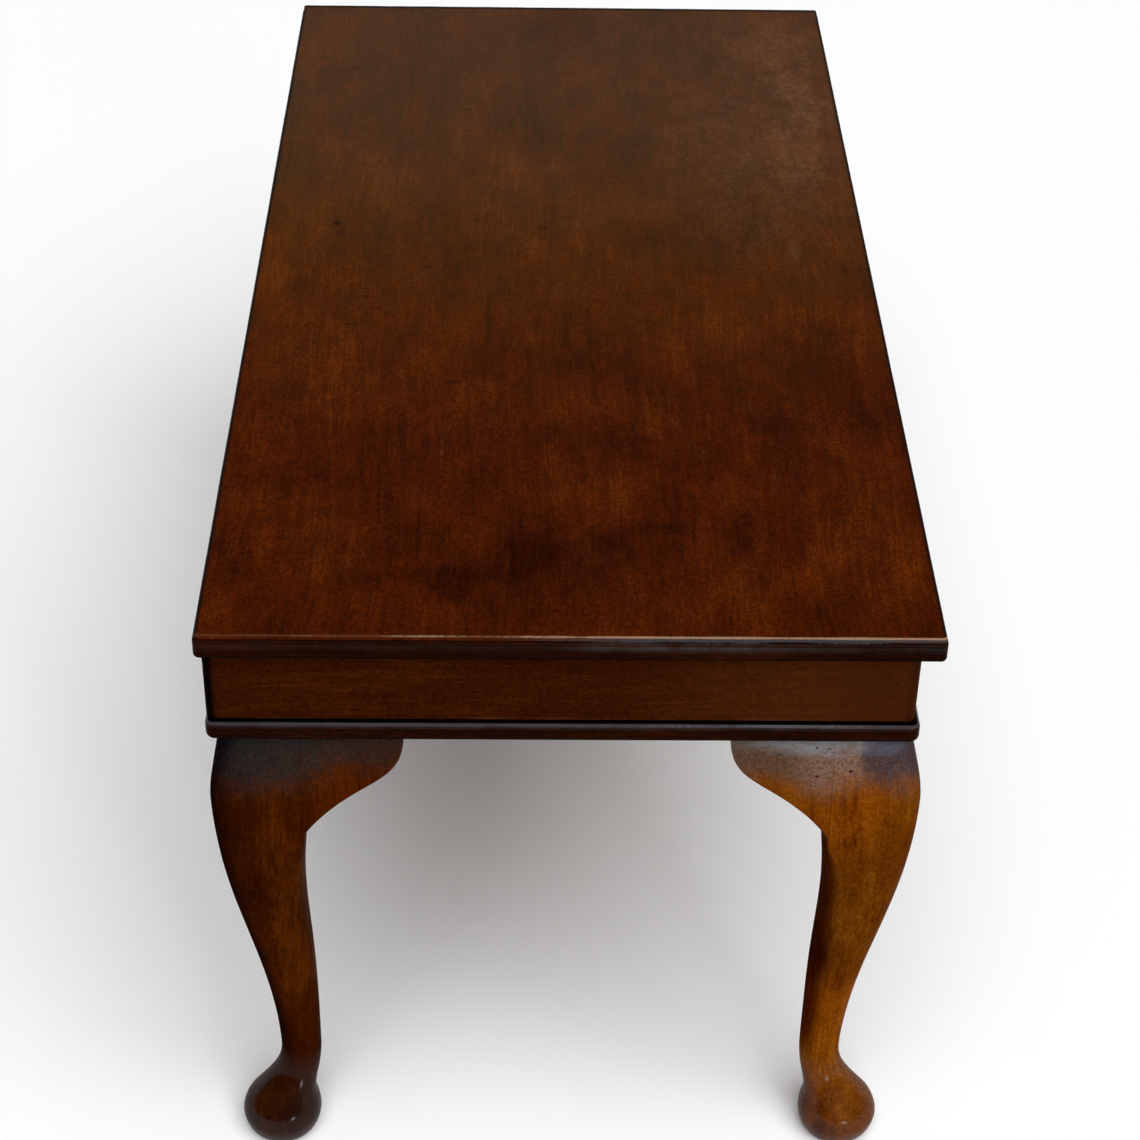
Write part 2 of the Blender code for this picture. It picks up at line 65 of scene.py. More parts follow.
# shader helpers: sockets are linked, and constants are set on the node's own sockets
def setInputs(node, inputs):
    for key, value in inputs.items():
        if isinstance(value, bpy.types.NodeSocket):
            node.id_data.links.new(value, node.inputs[key])
        else:
            node.inputs[key].default_value = value


def addNode(tree, kind, inputs=None, **settings):
    node = tree.nodes.new(kind)
    for key, value in settings.items():
        setattr(node, key, value)
    setInputs(node, inputs or {})
    return node


# a node in the tree that its inputs come from
def joinNode(kind, inputs, **settings):
    tree = next(value.id_data for value in inputs.values() if isinstance(value, bpy.types.NodeSocket))
    return addNode(tree, kind, inputs, **settings).outputs


def noiseOf(vector, scale, detail=2.0, rough=0.5):
    inputs = {"Vector": vector, "Scale": scale, "Detail": detail, "Roughness": rough}
    return joinNode("ShaderNodeTexNoise", inputs)["Fac"]


def calc(operation, first, *others):
    for other in others:
        first = joinNode("ShaderNodeMath", {0: first, 1: other}, operation=operation)[0]
    return first


def plus(*values):
    return calc("ADD", *values)


def minus(first, second):
    return calc("SUBTRACT", first, second)


def times(*values):
    return calc("MULTIPLY", *values)


def largest(*values):
    return calc("MAXIMUM", *values)


def centred(value):
    return minus(value, 0.5)


# noise about zero
def wave(*settings):
    return centred(noiseOf(*settings))


def absolute(value):
    return joinNode("ShaderNodeMath", {0: value}, operation="ABSOLUTE")[0]


def spread(value, low, high, toLow=0.0, toHigh=1.0):
    inputs = {"Value": value, "From Min": low, "From Max": high, "To Min": toLow, "To Max": toHigh}
    return joinNode("ShaderNodeMapRange", inputs, interpolation_type="SMOOTHSTEP")[0]


def vectorCalc(operation, first, second):
    return joinNode("ShaderNodeVectorMath", {0: first, 1: second}, operation=operation)[0]


def stretch(vector, *scale):
    return vectorCalc("MULTIPLY", vector, scale)


def axesOf(place):
    return joinNode("ShaderNodeSeparateXYZ", {"Vector": place})


def rgb(colour, level=1.0):
    return tuple(channel * level for channel in colour[:3]) + (1.0,)


def mixColour(factor, first, second, mode="MIX"):
    first, second = (rgb(colour) if isinstance(colour, tuple) else colour for colour in (first, second))
    return joinNode("ShaderNodeMix", {0: factor, 6: first, 7: second}, data_type="RGBA", blend_type=mode)[2]


# a colour made darker or lighter by one value
def shadeBy(colour, value):
    grey = joinNode("ShaderNodeCombineXYZ", {"X": value, "Y": value, "Z": value})[0]
    return mixColour(1.0, colour, grey, "MULTIPLY")


def bumpFrom(height, distance, strength):
    return joinNode("ShaderNodeBump", {"Height": height, "Distance": distance, "Strength": strength})[0]


def newGroup(name, inputs, outputs):
    group = bpy.data.node_groups.new(name, "ShaderNodeTree")
    for way, sockets in (("INPUT", inputs), ("OUTPUT", outputs)):
        for label, kind in sockets.items():
            group.interface.new_socket(name=label, in_out=way, socket_type="NodeSocket" + kind)
    return group, group.nodes.new("NodeGroupInput").outputs, group.nodes.new("NodeGroupOutput")


def useGroup(group, **inputs):
    return joinNode("ShaderNodeGroup", inputs, node_tree=group)


grainColours = ("Dark", "Middle", "Light")
grainAmounts = ("Band", "Streak", "Cloud", "Pore", "Speckle")


# mahogany with the grain along Z of the vector it is given: bands, streaks, fibre, cloud and short open pores
def makeGrainGroup():
    inputs = {"Vector": "Vector"} | dict.fromkeys(grainColours, "Color") | dict.fromkeys(grainAmounts, "Float")
    group, given, out = newGroup("mahoganyGrain", inputs, {"Color": "Color", "Height": "Float"})
    drift = joinNode("ShaderNodeTexNoise", {"Vector": given["Vector"], "Scale": 4.0, "Detail": 1.0})["Color"]
    drift = stretch(vectorCalc("SUBTRACT", drift, (0.5, 0.5, 0.5)), 0.03, 0.03, 0.0)
    vector = vectorCalc("ADD", given["Vector"], drift)
    longWays = stretch(vector, 1.0, 1.0, 0.05)
    band = centred(spread(plus(noiseOf(longWays, 55.0, 3.0), noiseOf(longWays, 16.0)), 0.66, 1.34))
    streak = noiseOf(stretch(vector, 1.0, 1.0, 0.06), 230.0, 3.0, 0.6)
    fibre = noiseOf(stretch(vector, 1.0, 1.0, 0.03), 650.0)
    fine = centred(spread(plus(streak, fibre), 0.66, 1.34))
    cloud = centred(spread(noiseOf(stretch(vector, 1.0, 1.0, 0.6), 15.0, 7.0, 0.62), 0.3, 0.7))
    tone = plus(times(band, given["Band"]), times(fine, given["Streak"]), times(cloud, given["Cloud"]), 0.5)
    pores = spread(noiseOf(stretch(vector, 1.0, 1.0, 0.12), 1700.0, 1.0), 0.56, 0.70)
    pores = times(pores, spread(noiseOf(longWays, 34.0), 0.35, 0.6, 0.25, 1.0), given["Pore"])
    colour = mixColour(spread(tone, 0.0, 0.5), given["Dark"], given["Middle"])
    colour = mixColour(spread(tone, 0.5, 1.0), colour, given["Light"])
    colour = mixColour(pores, colour, mixColour(0.65, given["Dark"], (0.0, 0.0, 0.0)))
    speck = centred(spread(noiseOf(stretch(vector, 1.0, 1.0, 0.7), 480.0, 3.0, 0.7), 0.3, 0.7))
    colour = shadeBy(colour, plus(times(speck, given["Speckle"]), 1.0))
    setInputs(out, {"Color": colour, "Height": minus(times(fine, 0.5), pores)})
    return group


# breaks a smooth edge value into a patchy line, for rubbed wear and for painted highlights
def makePatchyEdgeGroup():
    inputs = {"Vector": "Vector", "Edge": "Float", "Amount": "Float"}
    group, given, out = newGroup("patchyEdge", inputs, {"Mask": "Float"})
    fine = times(wave(given["Vector"], 420.0, 3.0), 0.7)
    broad = times(wave(given["Vector"], 26.0), 1.1)
    value = plus(times(given["Edge"], given["Amount"]), plus(fine, broad))
    setInputs(out, {"Mask": times(spread(value, 0.45, 0.95), spread(given["Edge"], 0.05, 0.35))})
    return group


# one soft-edged, uneven patch
def makePatchGroup():
    inputs = {"Vector": "Vector", "Centre": "Vector", "Size": "Vector", "Uneven": "Float"}
    group, given, out = newGroup("softPatch", inputs, {"Mask": "Float"})
    away = vectorCalc("DIVIDE", vectorCalc("SUBTRACT", given["Vector"], given["Centre"]), given["Size"])
    far = joinNode("ShaderNodeVectorMath", {0: away}, operation="LENGTH")["Value"]
    setInputs(out, {"Mask": spread(plus(far, given["Uneven"]), 1.1, 0.2)})
    return group


# hairline scratches that run near one direction of the XY plane
def makeScratchGroup():
    inputs = {"Vector": "Vector", "Turn": "Float", "Amount": "Float"}
    group, given, out = newGroup("hairlineScratches", inputs, {"Mask": "Float"})
    turned = joinNode("ShaderNodeVectorRotate", {"Vector": given["Vector"], "Angle": given["Turn"]})[0]
    lines = spread(absolute(wave(stretch(turned, 1.0, 0.025, 1.0), 300.0, 1.0)), 0.008, 0.0)
    where = spread(noiseOf(stretch(turned, 1.0, 0.3, 1.0), 34.0), 0.56, 0.68)
    setInputs(out, {"Mask": times(lines, where, given["Amount"])})
    return group


grainGroup, patchyEdgeGroup = makeGrainGroup(), makePatchyEdgeGroup()
patchGroup, scratchGroup = makePatchGroup(), makeScratchGroup()
print("shared effects made")


def newMaterial(name):
    material = bpy.data.materials.new(name)
    material.use_nodes = True
    return material, addNode(material.node_tree, "ShaderNodeTexCoord").outputs["Object"]


# turns the piece's own coordinates so that the grain axis becomes Z, and shifts them so that boards differ
def newWood(name, axis, shift, look, tint=None, level=1.0):
    material, place = newMaterial(name)
    turns = {"x": (0.0, -math.pi / 2, 0.0), "y": (math.pi / 2, 0.0, 0.0), "z": (0.0, 0.0, 0.0)}
    mapping = {"Vector": place, "Rotation": turns[axis], "Location": (shift, 0.37 * shift, 0.71 * shift)}
    colours = {label: rgb((tint or look)[label.lower()], level) for label in grainColours}
    amounts = {label: look[label.lower()] for label in grainAmounts}
    vector = joinNode("ShaderNodeMapping", mapping)[0]
    return material, place, useGroup(grainGroup, Vector=vector, **colours, **amounts)


def patchyEdgeMask(place, edge, amount):
    return useGroup(patchyEdgeGroup, Vector=place, Edge=edge, Amount=amount)["Mask"]


def patchMask(vector, centre, size, uneven):
    return useGroup(patchGroup, Vector=vector, Centre=centre, Size=size, Uneven=uneven)["Mask"]


def scratchMask(place, turn, amount):
    return useGroup(scratchGroup, Vector=place, Turn=turn, Amount=amount)["Mask"]


# values that the meshes carry: "edge" where hands rub and where a painted highlight goes, "shadeAndDirt" for dirt
# and painted shade, "shade" for painted shade on the leg sides away from the light, and "shine" where the polish is
# thick
def meshValue(place, label):
    return addNode(place.id_data, "ShaderNodeAttribute", attribute_name=label).outputs["Fac"]


dullLevel = 0.55  # how much rougher a dirty or dull place is
shellac = (1.0, 0.62, 0.40)  # a thin, warm shine


def finishWood(material, place, look, colour, height, dull=None, coat=None):
    rough = spread(noiseOf(place, look["roughScale"], 4.0), 0.3, 0.7, *look["rough"])
    if dull:
        rough = plus(rough, times(dull, dullLevel))
    shader = material.node_tree.nodes["Principled BSDF"]
    setInputs(shader, {"Base Color": colour, "Roughness": rough, "Normal": bumpFrom(height, *look["bump"])})
    setInputs(shader, {"Specular IOR Level": look["specular"], "Specular Tint": rgb(look["sheen"])})
    if coat:
        setInputs(shader, {"Coat Weight": coat, "Coat Roughness": look["coatRough"]})
    return material


topFinish = {
    "dark": (0.030, 0.0042, 0.0003), "middle": (0.055, 0.0080, 0.0005), "light": (0.084, 0.0155, 0.0012),
    "warmSheen": (0.0115, 0.0100, 0.0011), "coolSheen": (0.007, 0.0095, 0.0082), "far": (0.061, 0.0235, 0.0095),
    "stain": (0.34, 0.26, 0.30), "warm": (1.75, 1.80, 1.4), "scuff": (0.165, 0.078, 0.036),
    "rim": (0.0070, 0.0042, 0.0034), "arris": (0.075, 0.0270, 0.0125), "bareWoodAndHighlight": (0.245, 0.145, 0.088),
    "under": (0.044, 0.0370, 0.0390),
    "band": 0.20, "streak": 0.42, "cloud": 0.55, "pore": 0.40, "speckle": 0.74,
    "rough": (0.35, 0.43), "roughScale": 26.0, "bump": (0.00012, 0.35), "specular": 0.015, "sheen": shellac,
    # where the painted warm and cool sheen set in along Y towards the far end, and how much of the far tone there
    # is
    "warmSheenRun": (-0.27, 0.14), "coolSheenRun": (-0.07, 0.38), "farShare": 0.22,
    # turn and amount of the scratches and of the cracks across the grain
    "scratches": ((0.16, 0.20), (-0.5, 0.16)), "cracks": (1.45, 0.55),
    # dark rim, worn arris with its painted highlight, and the painted highlight on the sheet's own edge: distances
    # in from the sheet's edges, and runs along X
    "rimSide": (0.0030, 0.0012), "rimFar": (0.0065, 0.0030), "rimShare": 0.85, "arrisDepth": (0.004, 0.0015),
    "arrisRun": (-0.22, 0.16, 0.40, 1.10), "underDepth": (0.0009, 0.0014), "underRun": (-0.06, 0.06),
    # centre x, y and half sizes in millimetres, then how strong
    "stains": [
        (-22, -366, 22, 50, 0.62), (-77, -402, 30, 22, 0.70), (-136, -399, 34, 16, 0.45), (-50, -395, 24, 16, 0.40),
        (26, -356, 22, 16, 0.55), (62, -342, 46, 9, 0.40), (113, -344, 14, 26, 0.45), (143, -352, 26, 30, 0.35),
        (-163, -286, 8, 8, 0.55), (143, -222, 34, 17, 0.32), (174, -150, 52, 95, 0.20), (30, -250, 120, 40, 0.28),
        (-20, -385, 120, 40, 0.30), (-174, 57, 4.5, 5, 0.95), (-172, 42, 4, 9, 0.45), (-146, -53, 4, 3, 0.8),
        (-103, -10, 5, 2, 0.7), (-155, -93, 6, 2, 0.6), (-79, -170, 7, 4, 0.7), (-16, 52, 5, 2, 0.5),
        (0, 420, 40, 60, 0.25),
    ],
    "warms": [
        (-100, -205, 46, 40, 0.32), (-75, -110, 30, 50, 0.18), (141, -403, 22, 22, 0.40), (172, -375, 8, 18, 0.35),
        (212, -330, 14, 120, 0.25), (-212, 60, 12, 380, 0.22), (-17, -268, 19, 28, 0.22), (85, -340, 12, 16, 0.35),
        (-205, -330, 20, 90, 0.20), (-130, -345, 3, 3, 0.9), (-164, -190, 5, 3, 0.6),
    ],
    "scuffs": [
        (196, 285, 28, 80, 0.55), (146, 175, 7, 20, 0.40), (174, 17, 5, 22, 0.40), (190, 180, 30, 90, 0.30),
        (180, 380, 50, 60, 0.40), (222, 262, 6, 50, 0.45), (150, 170, 90, 180, 0.24),
    ],
}


def polishedTop(name):
    look = topFinish
    material, place, grain = newWood(name, "y", 0.3, look)
    low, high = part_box("lid_top_sheet")
    axes = axesOf(place)
    flat = stretch(place, 1.0, 0.6, 1.0)
    streaks = wave(stretch(place, 1.0, 0.10, 1.0), 85.0, 3.0, 0.6)
    sway = wave(flat, 13.0, 6.0, 0.65)
    along = plus(axes["Y"], times(sway, 0.20), times(streaks, 0.10))
    colour = shadeBy(grain["Color"], spread(noiseOf(flat, 30.0, 6.0, 0.68), 0.3, 0.7, 0.76, 1.24))
    # painted reflection: the top is lightened towards the far end, warm then cool grey, and mixed towards the far
    # tone
    for coat in ("warmSheen", "coolSheen"):
        share = spread(along, *look[coat + "Run"])
        colour = mixColour(share, colour, look[coat], "ADD")
    colour = mixColour(times(share, look["farShare"]), colour, look["far"])
    uneven = times(wave(flat, 52.0, 7.0, 0.7), 2.4)
    specks = spread(noiseOf(flat, 240.0, 5.0, 0.75), 0.40, 0.64, 0.25, 1.0)
    for kind, mode in (("stain", "MULTIPLY"), ("warm", "MULTIPLY"), ("scuff", "MIX")):
        for x, y, wide, deep, strength in look[kind + "s"]:
            centre, size = (x / 1000, y / 1000, high.z), (wide / 1000, deep / 1000, 1.0)
            mask = times(patchMask(place, centre, size, uneven), strength)
            if kind == "scuff":
                mask = times(mask, specks)
            colour = mixColour(mask, colour, look[kind], mode)
    lines = largest(*(scratchMask(place, turn, amount) for turn, amount in look["scratches"]))
    colour = mixColour(lines, colour, look["scuff"])
    cracks = scratchMask(place, *look["cracks"])
    colour = mixColour(cracks, colour, look["rim"])
    # dark line round the far end and the sides
    half = (high.x - low.x) / 2
    wide = absolute(minus(axes["X"], (low.x + high.x) / 2))
    rim = largest(spread(wide, *(half - inset for inset in look["rimSide"])),
                  spread(axes["Y"], *(high.y - inset for inset in look["rimFar"])))
    colour = mixColour(times(rim, look["rimShare"]), colour, look["rim"])
    # pale arris of the near end, worn and partly a painted highlight, thin on the left, and a painted bluish
    # highlight on the sheet's own edge below it towards the right
    edge = times(meshValue(place, "edge"), spread(axes["Y"], *(low.y + inset for inset in look["arrisDepth"])))
    colour = mixColour(spread(edge, 0.3, 1.0, 0.0, 0.75), colour, look["arris"])
    wearAndHighlight = patchyEdgeMask(place, edge, spread(axes["X"], *look["arrisRun"]))
    colour = mixColour(wearAndHighlight, colour, look["bareWoodAndHighlight"])
    below = times(spread(axes["Z"], *(high.z - down for down in look["underDepth"])),
                  spread(axes["X"], *look["underRun"]))
    colour = mixColour(below, colour, look["under"])
    height = minus(grain["Height"], times(largest(lines, cracks), 0.6))
    return finishWood(material, place, look, colour, height)


edgeFinish = {
    "dark": (0.0045, 0.0009, 0.0003), "middle": (0.0105, 0.0018, 0.0004), "light": (0.0200, 0.0039, 0.0008),
    "wearAndHighlight": (0.054, 0.053, 0.062), "grimeAndShade": (0.0008, 0.0003, 0.0004),
    "band": 0.35, "streak": 0.45, "cloud": 0.5, "pore": 0.4, "speckle": 0.7,
    "rough": (0.24, 0.38), "roughScale": 40.0, "bump": (0.0001, 0.3), "specular": 0.010, "sheen": shellac,
    "coatRough": 0.20,
    # how the rubbed wear with its painted highlight, and the shine, grow and fade along X: from, to, and the levels
    # there
    "lid": {"even": 0.0, "wearAndHighlightAmount": (-0.02, 0.06, 0.70, 1.15),
            "grow": (-0.03, 0.05, 0.15, 1.0), "fade": (0.09, 0.17, 1.0, 0.35)},
    "base": {"even": 0.62, "wearAndHighlightAmount": (-0.05, 0.10, 0.60, 0.95),
             "grow": (-0.23, -0.17, 0.45, 0.90), "fade": (0.15, 0.21, 1.0, 0.60)},
}


def darkEdge(name, part, axis, shift):
    look, run = edgeFinish, edgeFinish[part]
    material, place, grain = newWood(name, axis, shift, look)
    shadeAndDirt = meshValue(place, "shadeAndDirt")
    across = axesOf(place)["X"]
    patchy = spread(noiseOf(place, 60.0, 4.0, 0.65), 0.3, 0.65, 0.3, 1.0)
    # the painted highlight on the upper rounds, and the coat, vary along X with where the light falls
    shine = times(spread(across, *run["grow"]), spread(across, *run["fade"]), patchy)
    wornAndLit = times(meshValue(place, "edge"), spread(shine, 0.0, 0.6, 0.7, 1.0))
    wearAndHighlight = patchyEdgeMask(place, wornAndLit, spread(across, *run["wearAndHighlightAmount"]))
    wearAndHighlight = largest(wearAndHighlight, times(wornAndLit, run["even"]))
    # the bluish-grey rubbed colour is a painted highlight, partly wear
    colour = mixColour(wearAndHighlight, grain["Color"], look["wearAndHighlight"])
    # darker in the crevice, partly dirt, and on the downward rounds: painted shade
    colour = mixColour(shadeAndDirt, colour, look["grimeAndShade"])
    coat = times(shine, meshValue(place, "shine"))
    return finishWood(material, place, look, colour, grain["Height"], shadeAndDirt, coat)


friezeFinish = {
    "dark": (0.016, 0.0024, 0.0002), "middle": (0.028, 0.0047, 0.0003), "light": (0.044, 0.0090, 0.0008),
    "wearAndHighlight": (0.075, 0.020, 0.006), "grimeAndShade": (0.0014, 0.0006, 0.0005),
    "paler": (0.015, 0.0050, 0.0015), "palerRun": (0.0, 0.16), "wearAndHighlightAmount": 0.8,
    "band": 0.20, "streak": 0.42, "cloud": 0.26, "pore": 0.45, "speckle": 0.70,
    "rough": (0.34, 0.48), "roughScale": 30.0, "bump": (0.00012, 0.4), "specular": 0.006, "sheen": shellac,
}


def friezeWood(name, axis, shift):
    look = friezeFinish
    material, place, grain = newWood(name, axis, shift, look)
    # painted light: the frieze is lighter towards the right, where the light falls
    paler = spread(axesOf(place)["X"], *look["palerRun"])
    colour = mixColour(paler, grain["Color"], look["paler"], "ADD")
    # lighter arrises, mostly the bottom one: rubbed wear and a painted highlight
    colour = mixColour(patchyEdgeMask(place, meshValue(place, "edge"), look["wearAndHighlightAmount"]), colour, look["wearAndHighlight"])
    # darker at the corners: painted shade, strong on the left
    shadeAndDirt = meshValue(place, "shadeAndDirt")
    colour = mixColour(shadeAndDirt, colour, look["grimeAndShade"])
    return finishWood(material, place, look, colour, grain["Height"], shadeAndDirt)


# the right legs are lighter and the left legs darker: partly their own wood, partly painted light and shade from
# the light on the right
legFinish = {
    "left": {
        "dark": (0.013, 0.0018, 0.0001), "middle": (0.033, 0.0054, 0.0002), "light": (0.070, 0.0150, 0.0006),
        "kneeSheen": (0.0155, 0.0130, 0.0116), "kneeSheenLow": (0.0190, 0.0115, 0.0085),
        "onBracket": (0.0260, 0.0130, 0.0085), "cool": (0.0135, 0.0122, 0.0120),
        "bright": (0.0190, 0.0165, 0.0165), "brightCool": (0.0150, 0.0140, 0.0145),
        "wearAndHighlight": (0.110, 0.0330, 0.0024), "shade": (0.34, 0.30, 0.55), "footLevel": 0.36, "calfLevel": 0.84,
        "kneeLevel": 1.0, "bracketLevel": 1.8, "bracketLift": 0.012, "mottle": 0.80, "strip": 0.45,
    },
    "right": {
        "dark": (0.060, 0.0110, 0.0003), "middle": (0.145, 0.0350, 0.0012), "light": (0.235, 0.0700, 0.0040),
        "kneeSheen": (0.150, 0.0880, 0.0620), "kneeSheenLow": (0.175, 0.0900, 0.0450),
        "onBracket": (0.074, 0.0450, 0.0300), "cool": (0.038, 0.0310, 0.0360),
        "bright": (0.185, 0.1850, 0.1950), "brightCool": (0.092, 0.0960, 0.1240),
        "wearAndHighlight": (0.210, 0.0700, 0.0060), "shade": (0.30, 0.115, 0.25), "footLevel": 0.60, "calfLevel": 0.58,
        "kneeLevel": 1.12, "bracketLevel": 0.78, "bracketLift": 0.004, "mottle": 0.82, "strip": 0.95,
    },
    "grimeAndShade": (0.0035, 0.0010, 0.0005), "wearAndHighlightAmount": 0.7,
    "band": 0.40, "streak": 0.32, "cloud": 0.65, "pore": 0.35, "speckle": 0.55,
    "rough": (0.30, 0.44), "roughScale": 34.0, "bump": (0.00015, 0.45), "specular": 0.001, "sheen": shellac,
    "coatRough": 0.16,
    # heights over which the foot, calf and knee change tone, and distances from the middle of the table
    "footRun": (0.02, 0.10), "calfRun": (0.125, 0.18), "kneeRun": (0.265, 0.325), "bracketRun": (0.170, 0.135),
    "outerRun": (0.180, 0.218), "outerRise": (0.27, 0.31), "outerLevels": (1.06, 0.72),
    # the painted sheen at the top of the knee (partly a dull veil in the polish), its low and grey parts, and the
    # painted highlight strip at the very top
    "sheenVeilRise": (0.328, 0.358), "sheenVeilShare": 0.97, "sheenVeilBracket": (0.165, 0.135), "kneeSheenRise": (0.336, 0.354),
    "greyRun": (0.179, 0.189), "stripRise": (0.362, 0.3725), "stripRun": (0.105, 0.140, 0.25, 1.0),
    "stripEnd": (0.218, 0.210),
    # pin holes and scratches on the near right knee: x, z and half sizes in millimetres
    "dents": [(157.1, 351.2, 1.5, 1.0), (178.5, 354.7, 1.8, 1.2)], "flecks": [(165.0, 370.0, 17.0, 4.5)],
}


def legWood(name, side, shift, pinned=False):
    look, tint = legFinish, legFinish[side]
    material, place, grain = newWood(name, "z", shift, look, tint)
    axes = axesOf(place)
    height, aside = axes["Z"], absolute(axes["X"])
    sway = wave(place, 36.0, 5.0, 0.6)
    level = plus(height, times(sway, 0.045))
    # darker at the foot and down the calf than at the knee
    outer = times(spread(aside, *look["outerRun"]), spread(height, *look["outerRise"]))
    depth = times(
        spread(height, *look["footRun"], tint["footLevel"], 1.0),
        spread(height, *look["calfRun"], 1.0, tint["calfLevel"]),
        spread(level, *look["kneeRun"], 1.0, tint["kneeLevel"] / tint["calfLevel"]),
        spread(aside, *look["bracketRun"], 1.0, tint["bracketLevel"]),
        spread(outer, 0.0, 1.0, *look["outerLevels"]))
    colour = shadeBy(grain["Color"], depth)
    # painted sheen: a cloudy pale veil at the top of the knee under the base frame, partly reflected light and
    # partly polish gone dull, greyer towards the outside of the knee
    mottle = spread(noiseOf(place, 420.0, 4.0, 0.8), 0.38, 0.60, tint["mottle"], 1.0)
    onBracket = spread(aside, *look["sheenVeilBracket"])
    lifted = minus(level, times(onBracket, tint["bracketLift"]))
    sheenVeil = times(spread(lifted, *look["sheenVeilRise"], 0.0, look["sheenVeilShare"]), mottle)
    greyer = spread(plus(aside, times(sway, 0.03)), *look["greyRun"])
    kneeSheen = mixColour(spread(level, *look["kneeSheenRise"]), tint["kneeSheenLow"], tint["kneeSheen"])
    kneeSheen = mixColour(onBracket, kneeSheen, tint["onBracket"])
    kneeSheen = mixColour(greyer, kneeSheen, tint["cool"])
    grit = spread(noiseOf(place, 520.0, 3.0, 0.8), 0.36, 0.64, 0.62, 1.36)
    colour = mixColour(sheenVeil, colour, shadeBy(kneeSheen, grit))
    # painted highlight: a pale strip along the very top
    glints = spread(noiseOf(stretch(place, 0.5, 1.0, 1.6), 130.0, 5.0, 0.75), 0.36, 0.60, 0.42, 1.0)
    upper = plus(height, times(sway, 0.014))
    strip = times(spread(upper, *look["stripRise"], 0.0, tint["strip"]), glints,
                  spread(aside, *look["stripRun"]), spread(aside, *look["stripEnd"]))
    colour = mixColour(strip, colour, mixColour(greyer, tint["bright"], tint["brightCool"]))
    colour = mixColour(patchyEdgeMask(place, meshValue(place, "edge"), look["wearAndHighlightAmount"]), colour, tint["wearAndHighlight"])
    # painted shade on the sides that face away from the light, then the darkening at the pad
    shade, shadeAndDirt = meshValue(place, "shade"), meshValue(place, "shadeAndDirt")
    colour = mixColour(shade, colour, tint["shade"], "MULTIPLY")
    colour = mixColour(shadeAndDirt, colour, look["grimeAndShade"])
    if pinned:
        squashed = stretch(place, 1.0, 0.1, 1.0)
        ragged = times(wave(place, 620.0, 3.0, 0.7), 1.6)
        nicks = spread(noiseOf(stretch(place, 1.5, 0.3, 1.0), 320.0), 0.575, 0.65)
        for x, z, wide, high in look["dents"] + look["flecks"]:
            centre, size = (x / 1000, -0.045, z / 1000), (wide / 1000, 0.01, high / 1000)
            mark = patchMask(squashed, centre, size, ragged)
            if (x, z, wide, high) in look["flecks"]:
                mark = times(mark, nicks)
            colour = mixColour(mark, colour, look["grimeAndShade"])
    dull, coat = largest(shadeAndDirt, shade), meshValue(place, "shine")
    return finishWood(material, place, look, colour, grain["Height"], dull, coat)


timberFinish = {
    "dark": (0.095, 0.034, 0.011), "middle": (0.200, 0.085, 0.032), "light": (0.310, 0.150, 0.066),
    "dust": (0.230, 0.175, 0.125), "band": 0.5, "streak": 0.7, "cloud": 0.25, "pore": 0.7, "speckle": 0.35,
    "rough": (0.58, 0.76), "roughScale": 30.0, "bump": (0.0002, 0.5), "specular": 0.25, "sheen": (1.0, 1.0, 1.0),
}


def plainTimber(name, axis, shift, level=1.0):
    look = timberFinish
    material, place, grain = newWood(name, axis, shift, look, level=level)
    dust = spread(noiseOf(place, 22.0, 6.0, 0.7), 0.5, 0.8, 0.0, 0.3)
    colour = mixColour(dust, grain["Color"], rgb(look["dust"], level))
    return finishWood(material, place, look, colour, grain["Height"])


brassFinish = {
    "bright": (0.55, 0.37, 0.14), "aged": (0.21, 0.125, 0.045), "rough": (0.26, 0.52), "bump": (0.00003, 0.35),
}


def agedBrass(name):
    look = brassFinish
    material, place = newMaterial(name)
    tarnish = spread(noiseOf(place, 320.0, 5.0, 0.65), 0.35, 0.65)
    brushed = noiseOf(stretch(place, 1.0, 0.03, 1.0), 3000.0, 1.0)
    setInputs(material.node_tree.nodes["Principled BSDF"], {
        "Base Color": mixColour(tarnish, look["bright"], look["aged"]), "Metallic": 1.0,
        "Roughness": spread(tarnish, 0.0, 1.0, *look["rough"]), "Normal": bumpFrom(brushed, *look["bump"]),
    })
    return material


topWood = polishedTop("polishedTop")
lidWood = {
    "across": darkEdge("lidEdgeAcross", "lid", "x", 0.2), "along": darkEdge("lidEdgeAlong", "lid", "y", 0.5),
}
baseWood = {
    "across": darkEdge("baseEdgeAcross", "base", "x", 0.9), "along": darkEdge("baseEdgeAlong", "base", "y", 1.3),
}
railWood = {"across": friezeWood("friezeAcross", "x", 0.1), "along": friezeWood("friezeAlong", "y", 0.8)}
timber = {
    "across": plainTimber("timberAcross", "x", 0.4), "along": plainTimber("timberAlong", "y", 0.6),
    "upright": plainTimber("timberUpright", "z", 1.1), "stained": plainTimber("timberStained", "y", 2.1, 0.45),
}
brass = agedBrass("agedBrass")
print("materials made")

sharpAngle = math.radians(34)


def addPiece(name, mesh, materials, body, slot, *replaced):
    for material in materials:
        mesh.materials.append(material)
    mesh.shade_smooth()
    mesh.set_sharp_from_angle(angle=sharpAngle)
    piece = bpy.data.objects.new(name, mesh)
    scene.collection.objects.link(piece)
    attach(piece, body)
    if replaced:
        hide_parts(*replaced)
    return piece


# a CAD node that keeps its shape
def refinish(name, material):
    nodes[name].data.materials.clear()
    nodes[name].data.materials.append(material)


def meshFrom(shape, name):
    bmesh.ops.recalc_face_normals(shape, faces=shape.faces[:])
    mesh = bpy.data.meshes.new(name)
    shape.to_mesh(mesh)
    shape.free()
    return mesh


def joinRings(shape, rings, capped=True):
    for first, second in zip(rings, rings[1:]):
        for i in range(len(first)):
            j = (i + 1) % len(first)
            shape.faces.new((first[i], first[j], second[j], second[i]))
    if capped:
        shape.faces.new(rings[0])
        shape.faces.new(rings[-1])


